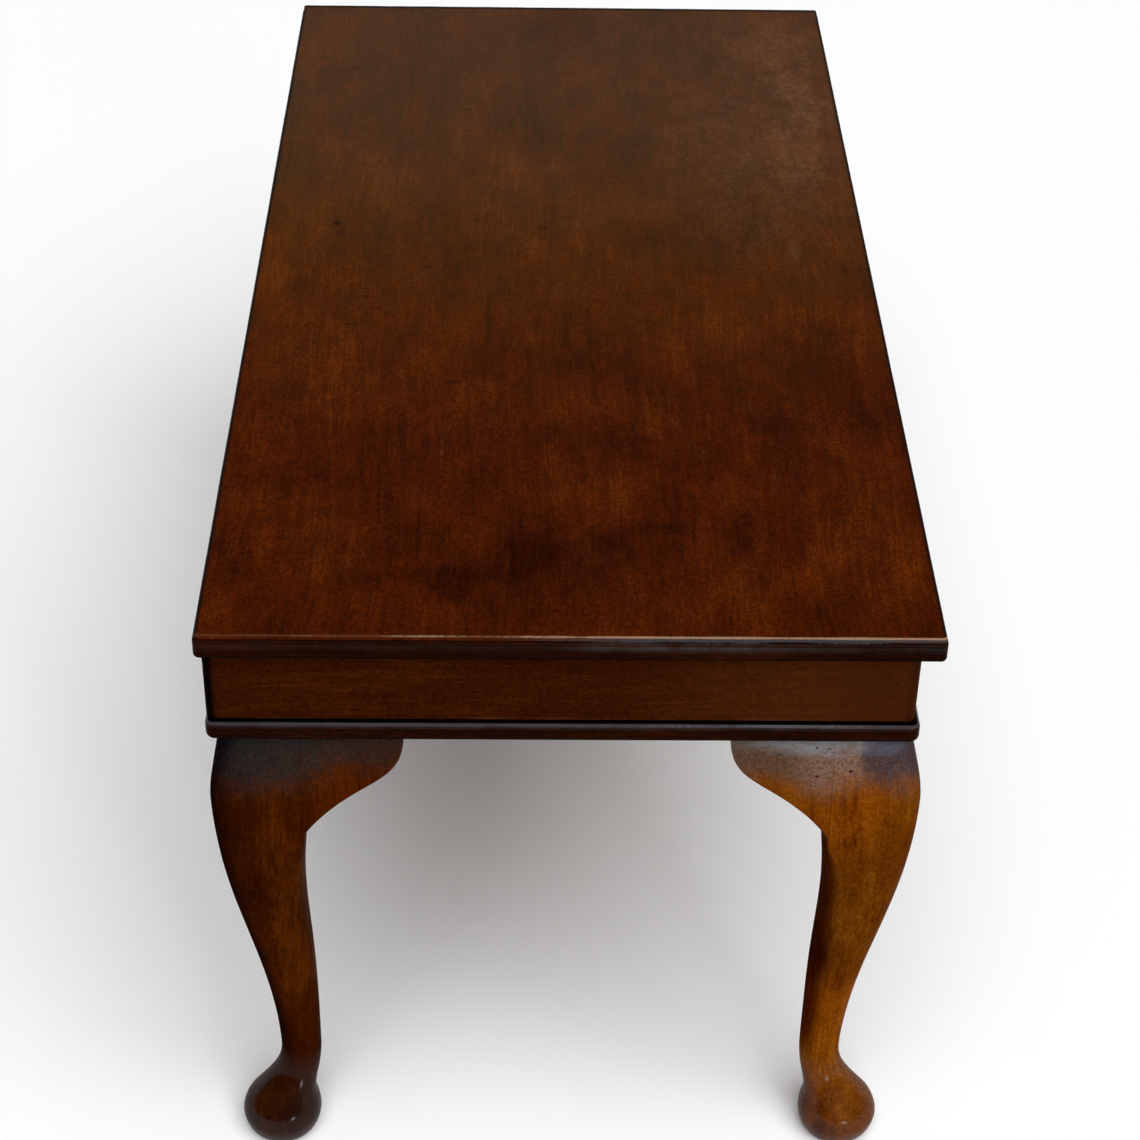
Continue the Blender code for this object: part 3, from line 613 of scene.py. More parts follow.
# a closed skin over rings of points, with the values that the points carry
def loft(name, rings, points, values):
    count = len(points) // rings
    shape = bmesh.new()
    made = [shape.verts.new(point) for point in points]
    joinRings(shape, [made[start:start + count] for start in range(0, len(made), count)])
    mesh = meshFrom(shape, name)
    for label, numbers in values.items():
        mesh.attributes.new(label, "FLOAT", "POINT").data.foreach_set("value", numbers)
    return mesh


def cutWith(piece, cutters):
    for cutter in cutters:
        cut = piece.modifiers.new("cut", "BOOLEAN")
        cut.operation, cut.solver, cut.object = "DIFFERENCE", "EXACT", cutter
    bpy.context.view_layer.update()
    made = bpy.data.meshes.new_from_object(piece.evaluated_get(bpy.context.evaluated_depsgraph_get()))
    piece.modifiers.clear()
    old, piece.data = piece.data, made
    bpy.data.meshes.remove(old)
    for cutter in cutters:
        bpy.data.objects.remove(cutter)
    piece.data.set_sharp_from_angle(angle=sharpAngle)


def helperFrom(shape, name, place=(0, 0, 0)):
    helper = bpy.data.objects.new(name, meshFrom(shape, name))
    helper.location = place
    scene.collection.objects.link(helper)
    return helper


# one point of a frame's section, with the values it carries
def spot(inset, height, edge=0.0, shadeAndDirt=0.0, shine=0.0):
    return inset, height, edge, shadeAndDirt, shine


# the inner face of a frame's section, with the lowest and highest level
def innerFace(node):
    low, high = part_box(node)
    width = high.y - low.y
    return low.z, high.z, [spot(width, low.z), spot(width, high.z)]


# quarter round as (inset, height, degrees) from the upright face to the flat
def quarterRound(radius, level, up, steps=8):
    made = []
    for step in range(steps + 1):
        turn = math.pi / 2 * step / steps
        made.append((radius * (1 - math.cos(turn)), level - up * radius * (1 - math.sin(turn)), math.degrees(turn)))
    return made


def rectOf(prefix):
    boxes = [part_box(f"{prefix}_{side}") for side in ends]
    xs = [c.x for pair in boxes for c in pair]
    ys = [c.y for pair in boxes for c in pair]
    return min(xs), max(xs), min(ys), max(ys)


# stops along one side of a frame: in the corners every few degrees, and closer together near them on the run
sweep = {"runSteps": 48, "arcSteps": 6, "nearCorner": (1, 0.992, 0.975), "evenRun": 0.95, "mitreGap": 0.00006}


def sweepStops():
    arc, steps, close, even = (sweep[key] for key in ("arcSteps", "runSteps", "nearCorner", "evenRun"))
    runs = [-run for run in close] + [between(-even, even, k / steps) for k in range(steps + 1)]
    runs += reversed(close)
    stops = [(-1, 45 * (1 - k / arc), None) for k in range(arc)] + [(0, 0, run) for run in runs]
    return stops + [(1, 45 * (k + 1) / arc, None) for k in range(arc)]


# one side of a mitred frame with rounded corners: a section of spots swept from mitre to mitre
def sweepSide(name, rect, look, section, side):
    corner, wander, cornerShade = look["corner"], look.get("wander"), look.get("cornerShade")
    outX, outY = ends[side]
    middle = Vector(((rect[0] + rect[1]) / 2, (rect[2] + rect[3]) / 2))
    halves = ((rect[1] - rect[0]) / 2, (rect[3] - rect[2]) / 2)
    halfOut, halfAlong = halves if outX else (halves[1], halves[0])
    stops = sweepStops()
    last = len(stops) - 1
    reach = halfAlong - corner + corner * math.sin(math.radians(45))
    points, values = [], {"edge": [], "shadeAndDirt": [], "shine": []}
    for number, (sign, angle, run) in enumerate(stops):
        turn = math.radians(angle)
        for inset, height, edge, shadeAndDirt, shine in section:
            if run is None:
                outer = sign * (halfAlong - corner + corner * math.sin(turn))
            else:
                outer = run * (halfAlong - corner)
            out, along = halfOut - inset, outer
            if inset >= corner:
                along = outer / reach * (halfAlong - inset)
            elif run is None:
                out = halfOut - corner + (corner - inset) * math.cos(turn)
                along = sign * (halfAlong - corner + (corner - inset) * math.sin(turn))
            if number in (0, last):
                along -= math.copysign(sweep["mitreGap"], along)
            if wander and inset < corner:
                out -= wander * (0.5 + 0.5 * noise.noise(Vector((outer * 14, height * 60, outX + 2 * outY + 5))))
            x, y = middle.x + outX * out - outY * along, middle.y + outY * out + outX * along
            # painted shade at the rounded corners of a side, fading onto the run
            if cornerShade:
                shadeAndDirt = cornerShade[0 if x < 0 else 1] * (1 - rise(min(number, last - number), 5, 3))
            points.append((x, y, height))
            for label, value in (("edge", edge), ("shadeAndDirt", shadeAndDirt), ("shine", shine)):
                values[label].append(value)
    return loft(name, len(stops), points, values)


# the four sides of a frame
def makeSides(label, prefix, look, section, woods, body, slot):
    rect = rectOf(prefix)
    made = {}
    for side in ends:
        name, way = f"{label}_{side}", "across" if ends[side][1] else "along"
        mesh = sweepSide(name, rect, look, section, side)
        made[side] = addPiece(name, mesh, [wood[way] for wood in woods], body, slot, f"{prefix}_{side}")
    return made


# lid: the polished sheet, with its arris rubbed unevenly, over four mitred lippings and the core
sheet = {"arris": 0.0007, "arrisWander": 0.0005, "corner": 0.0025, "step": 0.012, "lowEdge": 0.0006,
         "rubbedTo": (0.0016, 0.0022)}
lipping = {"corner": 0.004, "upperRound": 0.0018, "lowerRound": 0.0030, "wander": 0.00025,
           "shineDown": ((0.0018, 0.8), (0.0040, 0.35), (0.0065, 0.0))}


def makeTopSheet():
    low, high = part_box("lid_top_sheet")
    corner = sheet["corner"]
    outline = []
    for x, y, start in ((high.x - corner, low.y + corner, -90), (high.x - corner, high.y - corner, 0),
                        (low.x + corner, high.y - corner, 90), (low.x + corner, low.y + corner, 180)):
        for step in range(7):
            angle = math.radians(start + 15 * step)
            outline.append((Vector((x, y)), Vector((math.cos(angle), math.sin(angle)))))
    ring = []
    for (centre, way), (nextCentre, nextWay) in zip(outline, outline[1:] + outline[:1]):
        ring.append((centre + way * corner, way))
        steps = int((nextCentre - centre).length / sheet["step"])
        for step in range(1, steps):
            ring.append((centre + way * corner + (nextCentre - centre) * step / steps, way))
    # inset, height and edge value; the arris has degrees in place of a height
    rows = [(0.0, low.z, 0.0), (0.0, low.z + sheet["lowEdge"], 0.35), (0.0, between(low.z, high.z, 0.5), 0.0)]
    rows += [(None, turn, 1.0) for turn in (0, 22.5, 45, 67.5, 90)]
    rows += [(inset, high.z, value) for inset, value in zip(sheet["rubbedTo"], (0.05, 0.0))]
    points, edge = [], []
    for inset, height, value in rows:
        for place, way in ring:
            back, z = inset, height
            if inset is None:
                wobble = noise.noise(Vector((place.x * 55, place.y * 55, 3.1)))
                arris = sheet["arris"] + sheet["arrisWander"] * wobble
                turn = math.radians(height)
                back, z = arris * (1 - math.cos(turn)), high.z - arris * (1 - math.sin(turn))
            at = place - way * back
            points.append((at.x, at.y, z))
            edge.append(value)
    mesh = loft("lidTopSheet", len(rows), points, {"edge": edge})
    addPiece("lidTopSheet", mesh, [topWood], "lid", "polished_top", "lid_top_sheet")


def makeLippings():
    low, high, section = innerFace("lid_lipping_near_end")
    # the upper round takes the painted highlight through its edge value; the lower round, facing down, is darkened
    # as painted shade
    for inset, z, turn in reversed(quarterRound(lipping["upperRound"], high, 1)):
        section.append(spot(inset, z, edge=0.6 * rise(turn, 30, 35), shine=rise(turn, 0, 25)))
    for down, shine in lipping["shineDown"]:
        section.append(spot(0.0, high - lipping["upperRound"] - down, shine=shine))
    for inset, z, turn in quarterRound(lipping["lowerRound"], low, -1):
        section.append(spot(inset, z, shadeAndDirt=rise(turn, 0, 35)))
    return makeSides("lidLipping", "lid_lipping", lipping, section, [lidWood], "lid", "dark_edge")


makeTopSheet()
lippings = makeLippings()
refinish("lid_core", timber["stained"])
print("lid made")

# box: four rails with rounded corners, polished outside and plain inside; the corners carry painted shade, strong
# on the left and light on the right
rail = {"corner": 0.005, "arris": 0.0009, "cornerShade": (1.0, 0.3)}


def makeRails():
    low, high, section = innerFace("rail_near_end")
    section += [spot(inset, z, edge=0.2) for inset, z, turn in reversed(quarterRound(rail["arris"], high, 1, 4))]
    section += [spot(0.0, between(low, high, share)) for share in (0.9, 0.7, 0.5, 0.3, 0.12)]
    section += [spot(inset, z, edge=0.8) for inset, z, turn in quarterRound(rail["arris"], low, -1, 4)]
    made = makeSides("friezeRail", "rail", rail, section, [railWood, timber], "carcase", "frieze")
    for piece in made.values():
        for face in piece.data.polygons:  # the inner face and the mitres are plain timber
            inner = len(face.vertices) > 4 or all(i % len(section) < 2 for i in face.vertices)
            face.material_index = 1 if inner else 0
    return made


rails = makeRails()
print("box made")

# base frame: the dark rounded band under the box
base = {"corner": 0.006, "upperRound": 0.0036, "lowerRound": 0.0048, "wander": 0.0002, "crevice": 0.004,
        "flat": 0.0012}


def makeBase():
    low, high, section = innerFace("base_near_end")
    # the crevice ledge and the top of the upper round are darkened as painted shade and dirt, the lit band below
    # takes a painted highlight, and the lower round is darkened as painted shade
    section.append(spot(base["upperRound"] + base["crevice"], high, shadeAndDirt=1))
    for inset, z, turn in reversed(quarterRound(base["upperRound"], high, 1, 12)):
        lit = rise(turn, 16, 14) * (1 - rise(turn, 52, 9))
        section.append(spot(inset, z, edge=0.85 * lit, shadeAndDirt=rise(turn, 54, 10), shine=0.3 + 0.7 * lit))
    section.append(spot(0.0, high - base["upperRound"] - base["flat"]))
    for inset, z, turn in quarterRound(base["lowerRound"], low, -1):
        section.append(spot(inset, z, shadeAndDirt=rise(turn, 0, 50)))
    makeSides("baseFrame", "base", base, section, [baseWood], "carcase", "dark_edge")


makeBase()
print("base frame made")

# cabriole legs: round at the foot and ankle, square with a soft ridge at the knee
# offsets run inwards from the knee's outer faces
leg = {
    "stock": 0.060, "kneeDrop": 0.055, "kneeSwell": 0.012, "kneeCurve": 1.3, "kneeSoft": 0.35, "calfHollow": 0.0045,
    "ankleHeight": 0.0585, "ankle": 0.028, "ankleSet": 0.0445, "turnedHeight": 0.090,
    "footHeight": 0.0215, "foot": 0.0566, "footSet": 0.0297, "footCurve": 0.60, "pad": 0.036,
    "turnedRound": 0.98, "ridgeRound": 0.62, "sideRound": 0.012, "backRound": 0.20, "squareFrom": 0.262,
    "ankleSoft": 0.010, "ankleReach": 0.026, "footSoft": 0.0065, "footReach": 0.017,
    "carved": 0.00022, "carveFoot": 0.004, "carveTop": 0.002,
    # finish: painted shade on the side facing away from the light, by facing and height, the darkening at the pad
    # and the shine on the foot
    "shade": 0.85, "shadeFacing": (0.25, 0.6), "shadeRise": (0.05, 0.04), "shadeFade": 0.003,
    "grimeAndShade": 0.6, "padDarkHeight": 0.008, "footShine": 0.32, "shineRise": (0.04, 0.03),
    "padSteps": 12, "footSteps": 22, "calfSteps": 46, "thighSteps": 8, "kneeSteps": 16, "arcSteps": 10,
}
bracket = {
    "reach": 0.065, "drop": 0.077, "tip": 0.009, "back": 0.040, "edgeRound": 0.003, "seam": 0.00008,
    "legPull": (0.39, 0.45), "tipPull": (0.93, 0.65), "columns": 36, "rows": 18, "edgeSteps": 6,
    "wearAndHighlight": 0.8, "rubbedRise": (0.001, 0.005),
}
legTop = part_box("leg_near_left")[1].z
kneeHeight = legTop - leg["kneeDrop"]
bracketBottom = legTop - bracket["drop"]


def footRound(height):
    if height <= leg["footHeight"]:
        below = 1 - height / leg["footHeight"]
        return leg["footSet"], between(leg["pad"], leg["foot"], math.sqrt(max(0.0, 1 - below * below))) / 2
    share = (height - leg["footHeight"]) / (leg["ankleHeight"] - leg["footHeight"])
    centre = between(leg["footSet"], leg["ankleSet"], smooth(share))
    return centre, between(leg["foot"], leg["ankle"], smooth(share ** leg["footCurve"])) / 2


def outerLine(height):
    if height >= kneeHeight:
        share = (height - kneeHeight) / leg["kneeDrop"]
        soft, power = leg["kneeSoft"] ** 2, leg["kneeCurve"] / 2
        start, full = soft ** power, (1 + soft) ** power
        return leg["kneeSwell"] * ((share * share + soft) ** power - start) / (full - start)
    if height >= leg["ankleHeight"]:
        share = rise(height, leg["ankleHeight"], kneeHeight - leg["ankleHeight"])
        return (leg["ankleSet"] - leg["ankle"] / 2) * (1 - share)
    centre, radius = footRound(height)
    return centre - radius


def innerLine(height):
    if height >= bracketBottom:
        return leg["stock"]
    if height >= leg["ankleHeight"]:
        share = (height - leg["ankleHeight"]) / (bracketBottom - leg["ankleHeight"])
        straight = between(leg["ankleSet"] + leg["ankle"] / 2, leg["stock"], share)
        return straight - leg["calfHollow"] * math.sin(math.pi * share * share) ** 2
    centre, radius = footRound(height)
    return centre + radius


# mean of a line over a few millimetres either side of the ankle and the widest part of the foot,
# so that calf, ankle and foot flow together
def flow(line, height):
    soft = leg["ankleSoft"] * (1 - smooth(abs(height - leg["ankleHeight"]) / leg["ankleReach"]))
    soft += leg["footSoft"] * (1 - smooth(abs(height - leg["footHeight"]) / leg["footReach"]))
    return sum(line(height + soft * step / 3) for step in range(-3, 4)) / 7


# points of the leg's outline at a height, each with how far it faces inwards along X
def legSection(height):
    outer, inner = flow(outerLine, height), flow(innerLine, height)
    half = (inner - outer) / 2
    square = rise(height, leg["turnedHeight"], bracketBottom - leg["turnedHeight"])
    squareSide = between(0.55 * square, 1, rise(height, leg["squareFrom"], bracketBottom - leg["squareFrom"]))
    ridge = half * between(leg["turnedRound"], leg["ridgeRound"], square)
    side = half * between(leg["turnedRound"], leg["sideRound"], squareSide)
    back = half * between(leg["turnedRound"], leg["backRound"], square)
    arcs = ((outer + ridge, outer + ridge, ridge, 180), (inner - side, outer + side, side, 270),
            (inner - back, inner - back, back, 0), (outer + side, inner - side, side, 90))
    points = []
    for centreX, centreY, radius, start in arcs:
        for step in range(leg["arcSteps"] + 1):
            angle = math.radians(start + 90 * step / leg["arcSteps"])
            facing = math.cos(angle)
            points.append((centreX + radius * facing, centreY + radius * math.sin(angle), facing))
    return points


def legHeights():
    pad = leg["padSteps"]
    heights = [leg["footHeight"] * (1 - math.cos(math.pi / 2 * k / pad)) for k in range(pad)]
    levels = (leg["footHeight"], leg["ankleHeight"], bracketBottom, kneeHeight, legTop)
    for start, end, part in zip(levels, levels[1:], ("foot", "calf", "thigh", "knee")):
        steps = leg[part + "Steps"]
        heights += [between(start, end, k / steps) for k in range(steps)]
    return heights + [legTop]


def kneeCorner(corner):
    low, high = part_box(f"leg_{corner}")
    sideX, sideY = corners[corner]
    return Vector((low.x if sideX < 0 else high.x, low.y if sideY < 0 else high.y, 0))


def makeLeg(corner, wood):
    sideX, sideY = corners[corner]
    at = kneeCorner(corner)
    heights = legHeights()
    points, values = [], {"shadeAndDirt": [], "shade": [], "shine": []}
    for height in heights:
        section = legSection(height)
        middle = sum((Vector((u, v)) for u, v, facing in section), Vector((0, 0))) / len(section)
        for u, v, facing in section:
            mark = Vector((u, v))
            lump = noise.noise(Vector((u * 30, v * 30, height * 22)) + at * 9)
            if leg["carveFoot"] < height < legTop - leg["carveTop"]:
                mark -= (mark - middle).normalized() * leg["carved"] * (0.5 + 0.5 * lump)
            points.append((at.x - sideX * mark.x, at.y - sideY * mark.y, height))
            # painted shade on the side that faces the left, away from the light
            shade = leg["shade"] * rise(sideX * facing, *leg["shadeFacing"]) * rise(height, *leg["shadeRise"])
            if sideX > 0:  # the lit side is clear under its bracket
                shade *= 1 - rise(height, bracketBottom - leg["shadeFade"], leg["shadeFade"])
            values["shadeAndDirt"].append(leg["grimeAndShade"] * (1 - smooth(height / leg["padDarkHeight"])))
            values["shade"].append(shade)
            values["shine"].append(leg["footShine"] * (1 - rise(height, *leg["shineRise"])))
    name = f"cabrioleLeg_{corner}"
    addPiece(name, loft(name, len(heights), points, values), [wood], "carcase", "legs", f"leg_{corner}")


# distance from the leg and drop below its top, along the bracket's lower edge
def bracketEdge(share):
    reach, drop = bracket["reach"], bracket["drop"]
    handles = [(bracket["seam"], drop)]
    handles += [(pull[0] * reach, pull[1] * drop) for pull in (bracket["legPull"], bracket["tipPull"])]
    handles.append((reach, bracket["tip"]))
    weights = ((1 - share) ** 3, 3 * share * (1 - share) ** 2, 3 * share ** 2 * (1 - share), share ** 3)
    return [sum(w * h[axis] for w, h in zip(weights, handles)) for axis in (0, 1)]


# show face: flush with the knee at the leg, upright at the tip
def bracketFace(reach, height):
    return between(flow(outerLine, height), leg["kneeSwell"], smooth(reach / bracket["reach"]))


def makeBracket(corner, run, wood):
    sideX, sideY = corners[corner]
    at = kneeCorner(corner)
    back, edgeRound, edgeSteps = bracket["back"], bracket["edgeRound"], bracket["edgeSteps"]
    points, values = [], {"edge": [], "shade": []}
    for column in range(bracket["columns"] + 1):
        reach, drop = bracketEdge(column / bracket["columns"])
        low = legTop - drop
        loop = [(back, legTop), (back, low)]
        for step in range(edgeSteps):
            angle = math.pi / 2 * step / edgeSteps
            height = low + edgeRound * (1 - math.cos(angle))
            loop.append((bracketFace(reach, height) + edgeRound * (1 - math.sin(angle)), height))
        for row in range(bracket["rows"] + 1):
            height = between(low + edgeRound, legTop, row / bracket["rows"])
            loop.append((bracketFace(reach, height), height))
        along = leg["stock"] + reach
        for across, height in loop:
            u, v = (along, across) if run == "end" else (across, along)
            points.append((at.x - sideX * u, at.y - sideY * v, height))
            wearAndHighlight = bracket["wearAndHighlight"] * (1 - rise(height - low, *bracket["rubbedRise"]))
            values["edge"].append(wearAndHighlight if across < back else 0.0)
            # painted shade on the left legs' side brackets, as on their legs
            values["shade"].append(leg["shade"] if run == "side" and sideX < 0 else 0.0)
    name = f"kneeBracket_{corner}_{run}"
    mesh = loft(name, bracket["columns"] + 1, points, values)
    addPiece(name, mesh, [wood], "carcase", "legs", f"knee_bracket_{corner}_{run}")


for number, corner in enumerate(corners):
    tone = "left" if corners[corner][0] < 0 else "right"
    legTimber = legWood(f"legWood_{corner}", tone, 0.3 + 0.9 * number, corner == "near_right")
    makeLeg(corner, legTimber)
    makeBracket(corner, "end", legTimber)
    makeBracket(corner, "side", legTimber)
    refinish(f"corner_block_{corner}", timber["upright"])
    refinish(f"leg_dowel_{corner}", timber["upright"])
refinish("bottom_panel", timber["across"])
print("legs, brackets and inner timber made")

# butt hinges: leaves with rolled knuckles and countersunk screws, let into the rail and the lipping
hinge = {
    "barrel": 0.0025, "bore": 0.0014, "leaf": 0.0012, "run": 0.0003, "knuckles": 5, "level": 0.00015,
    "bevel": 0.0002, "web": 0.0004, "let": 0.0003, "ease": 0.00015,
    # screws: radius, depth and foot, the rim's two steps, the sink's allowances and the slot
    "screw": 0.0024, "screwDepth": 0.0010, "screwFoot": 0.0011, "screwRim": (0.0001, 0.0003),
    "sinkEase": (0.0001, 0.00005, 0.0003), "screwSpots": (-0.36, 0.0, 0.36), "stagger": 0.14,
    "slot": 0.0007, "slotDepth": 0.0005, "slotReach": 0.004, "slotAbove": 0.001,
}


def block(shape, low, high, bevel=0.0):
    made = bmesh.ops.create_cube(shape, size=1.0)
    bmesh.ops.scale(shape, vec=Vector(high) - Vector(low), verts=made["verts"])
    bmesh.ops.translate(shape, vec=(Vector(high) + Vector(low)) / 2, verts=made["verts"])
    if bevel:
        edges = list(dict.fromkeys(edge for vert in made["verts"] for edge in vert.link_edges))
        bmesh.ops.bevel(shape, geom=edges, offset=bevel, segments=2, profile=0.5, affect="EDGES")


# a form turned round Z with closed ends, or a tube round Y
def turned(shape, profile, sides=24, tube=False):
    rings = []
    for radius, level in profile:
        ring = []
        for i in range(sides):
            turn = 2 * math.pi * i / sides
            across, up = radius * math.cos(turn), radius * math.sin(turn)
            ring.append(shape.verts.new((across, level, up) if tube else (across, up, level)))
        rings.append(ring)
    joinRings(shape, rings + rings[:1] if tube else rings, capped=not tube)


def addMesh(shape, mesh, place):
    mesh.transform(place)
    shape.from_mesh(mesh)
    bpy.data.meshes.remove(mesh)


def screwHead(turn):
    head, groove = bmesh.new(), bmesh.new()
    rim, flat = hinge["screwRim"]
    turned(head, [(hinge["screwFoot"], -hinge["screwDepth"]), (hinge["screw"] - rim, -rim),
                  (hinge["screw"] - flat, 0.0)])
    half, far = hinge["slot"] / 2, hinge["slotReach"]
    block(groove, (-far, -half, -hinge["slotDepth"]), (far, half, hinge["slotAbove"]))
    bmesh.ops.rotate(groove, matrix=Matrix.Rotation(turn, 3, "Z"), verts=groove.verts[:])
    blank = helperFrom(head, "screwHead")
    cutWith(blank, [helperFrom(groove, "screwSlot")])
    mesh = blank.data
    bpy.data.objects.remove(blank)
    return mesh


def screwSink():
    sink = bmesh.new()
    foot, below, wide = hinge["sinkEase"]
    turned(sink, [(hinge["screwFoot"] + foot, -hinge["screwDepth"] - below), (hinge["screw"] + wide, wide)])
    return meshFrom(sink, "screwSink")


def makeHinge(number):
    low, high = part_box(f"hinge_rail_leaf_{number}")
    pinLow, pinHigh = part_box(f"hinge_pin_{number}")
    axis = Vector((low.x + hinge["barrel"], (low.y + high.y) / 2, pinLow.z / 2 + pinHigh.z / 2))
    length, reach = high.y - low.y, high.x - axis.x
    notch, pitch = hinge["barrel"] + hinge["run"], length / hinge["knuckles"]
    for owner, body, first, up in (("rail", "carcase", 0, -1), ("lid", "lid", 1, 1)):
        shape = bmesh.new()
        near, far = sorted((up * hinge["level"], up * (hinge["level"] + hinge["leaf"])))
        block(shape, (notch, -length / 2, near), (reach, length / 2, far), hinge["bevel"])
        for index in range(first, hinge["knuckles"], 2):
            start = -length / 2 + index * pitch + hinge["run"] / 2
            end = start + pitch - hinge["run"]
            bore, barrel = hinge["bore"], hinge["barrel"]
            turned(shape, ((bore, start), (barrel, start), (barrel, end), (bore, end)), 28, tube=True)
            block(shape, ((bore + barrel) / 2, start, near), (notch + hinge["web"], end, far))
        bmesh.ops.translate(shape, vec=axis, verts=shape.verts[:])
        name, screwName = f"hingeLeaf_{owner}_{number}", f"hingeScrews_{owner}_{number}"
        leaf = addPiece(name, meshFrom(shape, name), [brass], body, "hinge_brass", f"hinge_{owner}_leaf_{number}")
        screws, sinks = bmesh.new(), bmesh.new()
        for i, share in enumerate(hinge["screwSpots"]):
            x = between(notch, reach, 0.5 + hinge["stagger"] * (1 if i % 2 else -1))
            y = length * share
            place = Matrix.Translation((x, y, up * hinge["level"]))
            if up > 0:
                place = place @ Matrix.Rotation(math.pi, 4, "X")
            addMesh(screws, screwHead(0.6 + 40 * x + 21 * y), Matrix.Translation(axis) @ place)
            addMesh(sinks, screwSink(), place)
        addPiece(screwName, meshFrom(screws, screwName), [brass], body, "hinge_brass")
        cutWith(leaf, [helperFrom(sinks, "screwSinks", axis)])
    refinish(f"hinge_pin_{number}", brass)
    return axis, length, reach


for number in (1, 2, 3):
    axis, length, reach = makeHinge(number)
    let = hinge["let"]
    deep, radius = hinge["level"] + hinge["leaf"] + let, hinge["barrel"] + hinge["run"] + hinge["ease"]
    for piece in (rails["hinge_side"], lippings["hinge_side"]):
        mortise, groove = bmesh.new(), bmesh.new()
        block(mortise, (0, -length / 2 - let, -deep), (reach + let, length / 2 + let, deep))
        bmesh.ops.create_cone(groove, cap_ends=True, segments=32, radius1=radius, radius2=radius,
                              depth=length + 2 * let)
        bmesh.ops.rotate(groove, matrix=Matrix.Rotation(math.pi / 2, 3, "X"), verts=groove.verts[:])
        cutWith(piece, [helperFrom(mortise, "mortise", axis), helperFrom(groove, "barrelGroove", axis)])
print("hinges made")

# floor: pale, and see-through from below so that the underside can be looked at
floor = {"size": 600.0, "colour": (0.962, 0.970, 0.980)}


def makeFloor():
    half = floor["size"] / 2
    mesh = bpy.data.meshes.new("floor")
    mesh.from_pydata([(-half, -half, 0), (half, -half, 0), (half, half, 0), (-half, half, 0)], [], [(0, 1, 2, 3)])
    material = bpy.data.materials.new("paleFloor")
    material.use_nodes = True
    tree = material.node_tree
    tree.nodes.remove(tree.nodes["Principled BSDF"])
    matt = addNode(tree, "ShaderNodeBsdfDiffuse", {"Color": rgb(floor["colour"])}).outputs[0]
    clear = addNode(tree, "ShaderNodeBsdfTransparent").outputs[0]
    behind = addNode(tree, "ShaderNodeNewGeometry").outputs["Backfacing"]
    shown = addNode(tree, "ShaderNodeMixShader", {0: behind, 1: matt, 2: clear}).outputs[0]
    setInputs(tree.nodes["Material Output"], {"Surface": shown})
    mesh.materials.append(material)
    piece = bpy.data.objects.new("floor", mesh)
    scene.collection.objects.link(piece)


# studio: one broad soft key from the right, a cool window low in front, and a world that is pale at the horizon
studio = {
    "key": {"azimuth": 19.0, "elevation": 60.0, "angle": 62.0, "strength": 3.28, "colour": (1.0, 0.995, 0.985)},
    "window": {"place": (1.2, -3.2, 1.0), "aim": (0.0, -0.45, 0.30), "size": (0.38, 0.45), "power": 11.0,
               "colour": (0.90, 0.95, 1.0)},
    "world": [(0.0, 0.75), (0.12, 0.42), (0.38, 0.20), (0.62, 0.12), (1.0, 0.12)],
    "sides": (-0.7, 0.5, 0.5, 0.82), "backdrop": (0.20, 0.38, 1.0, 0.0),
}


def addLamp(name, kind, way, power, colour):
    light = bpy.data.lights.new(name, kind)
    light.energy, light.color = power, colour
    lamp = bpy.data.objects.new(name, light)
    lamp.rotation_euler = way.to_track_quat("Z", "Y").to_euler()
    scene.collection.objects.link(lamp)
    return lamp


def makeLamps():
    look = studio["key"]
    azimuth, elevation = math.radians(look["azimuth"]), math.radians(look["elevation"])
    flat = math.cos(elevation)
    way = Vector((math.sin(azimuth) * flat, -math.cos(azimuth) * flat, math.sin(elevation)))
    key = addLamp("key", "SUN", way, look["strength"], look["colour"])
    key.data.angle = math.radians(look["angle"])
    key.visible_glossy = False  # too broad to be mirrored in the polish; the window is
    look = studio["window"]
    way = Vector(look["place"]) - Vector(look["aim"])
    window = addLamp("window", "AREA", way, look["power"], look["colour"])
    window.location = look["place"]
    window.data.shape, window.data.size, window.data.size_y = "RECTANGLE", *look["size"]


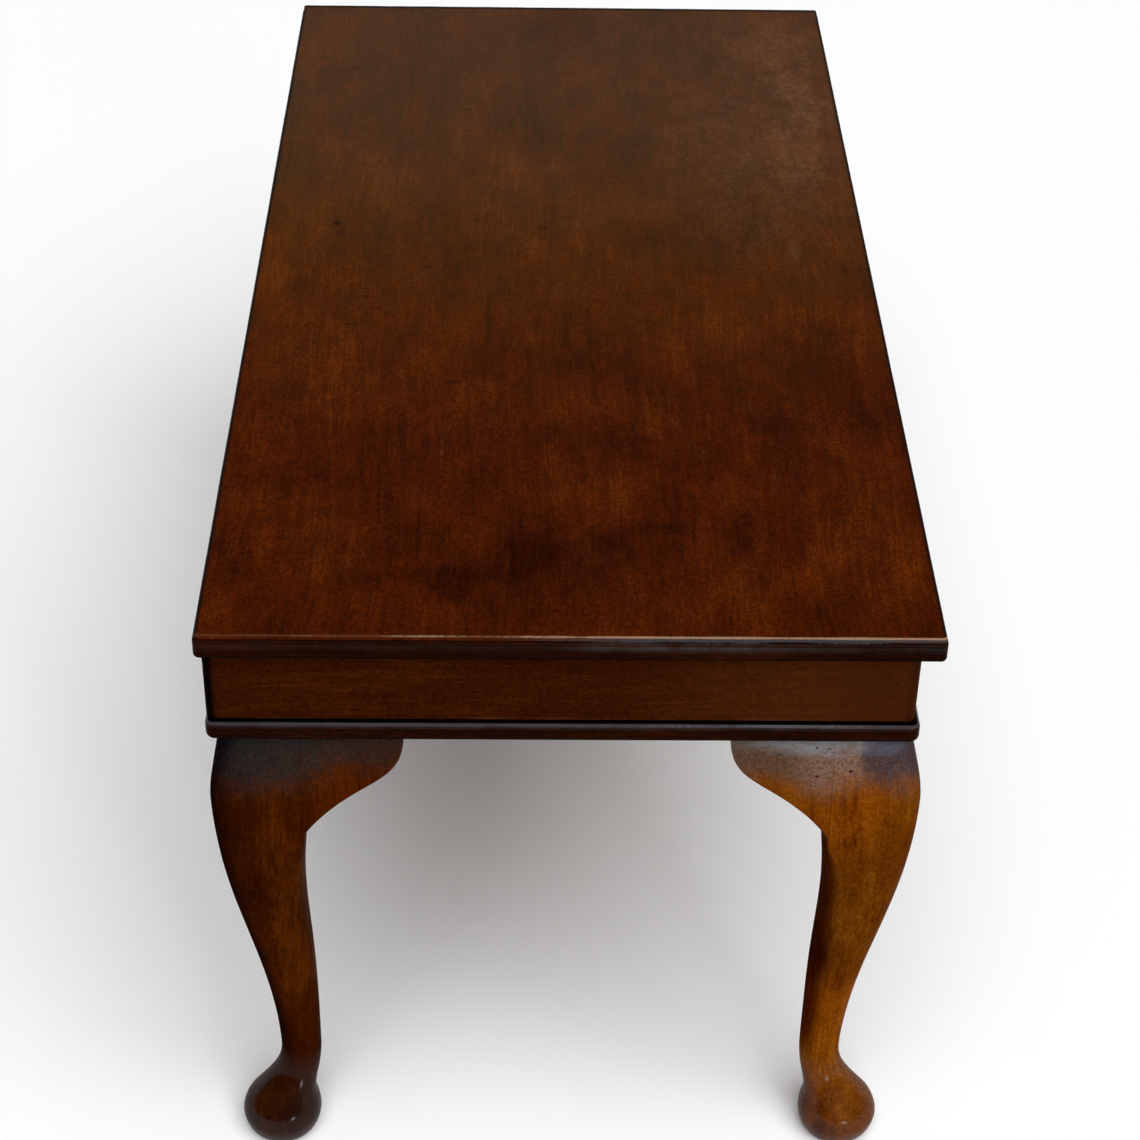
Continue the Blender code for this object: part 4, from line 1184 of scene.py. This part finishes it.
def makeWorld():
    world = bpy.data.worlds.new("studio")
    scene.world = world
    world.use_nodes = True
    tree = world.node_tree
    axes = axesOf(addNode(tree, "ShaderNodeTexCoord").outputs["Generated"])
    height = absolute(axes["Z"])
    ramp = addNode(tree, "ShaderNodeValToRGB", {"Fac": height})
    for i, (at, value) in enumerate(studio["world"]):
        stop = ramp.color_ramp.elements[i] if i < 2 else ramp.color_ramp.elements.new(at)
        stop.position = at
        stop.color = (value, value, value, 1.0)
    level = spread(axes["X"], *studio["sides"])
    # a pale backdrop round the horizon where it is seen or mirrored; it lights nothing
    ray = addNode(tree, "ShaderNodeLightPath").outputs
    seen = largest(ray["Is Camera Ray"], largest(ray["Is Glossy Ray"], ray["Is Transmission Ray"]))
    seen = times(seen, spread(height, *studio["backdrop"]))
    colour = mixColour(seen, ramp.outputs["Color"], floor["colour"])
    strength = plus(level, times(seen, minus(1.0, level)))
    setInputs(tree.nodes["Background"], {"Color": colour, "Strength": strength})


# camera where the photograph was taken from; focal length and frame in pixels
lens = {"place": (-0.027, -1.672, 1.413), "pitch": 36.45, "yaw": -1.20, "roll": -1.06, "focal": 2547.0,
        "frame": 1140.0, "sensor": 36.0}


def makeCamera():
    pitch, yaw, roll = (math.radians(lens[key]) for key in ("pitch", "yaw", "roll"))
    turn = Matrix.Rotation(yaw, 3, "Z")
    ahead = turn @ Vector((0, math.cos(pitch), -math.sin(pitch)))
    right = turn @ Vector((1, 0, 0))
    down = turn @ Vector((0, -math.sin(pitch), -math.cos(pitch)))
    across = math.cos(roll) * right + math.sin(roll) * down
    below = math.cos(roll) * down - math.sin(roll) * right
    data = bpy.data.cameras.new("camera")
    data.sensor_width = lens["sensor"]
    data.lens = lens["sensor"] * lens["focal"] / lens["frame"]
    camera = bpy.data.objects.new("camera", data)
    axes = Matrix((across, -below, -ahead)).transposed().to_4x4()
    camera.matrix_world = Matrix.Translation(lens["place"]) @ axes
    scene.collection.objects.link(camera)
    scene.camera = camera


makeFloor()
makeLamps()
makeWorld()
makeCamera()
scene.view_settings.view_transform = "Standard"
print("floor, light and camera made")
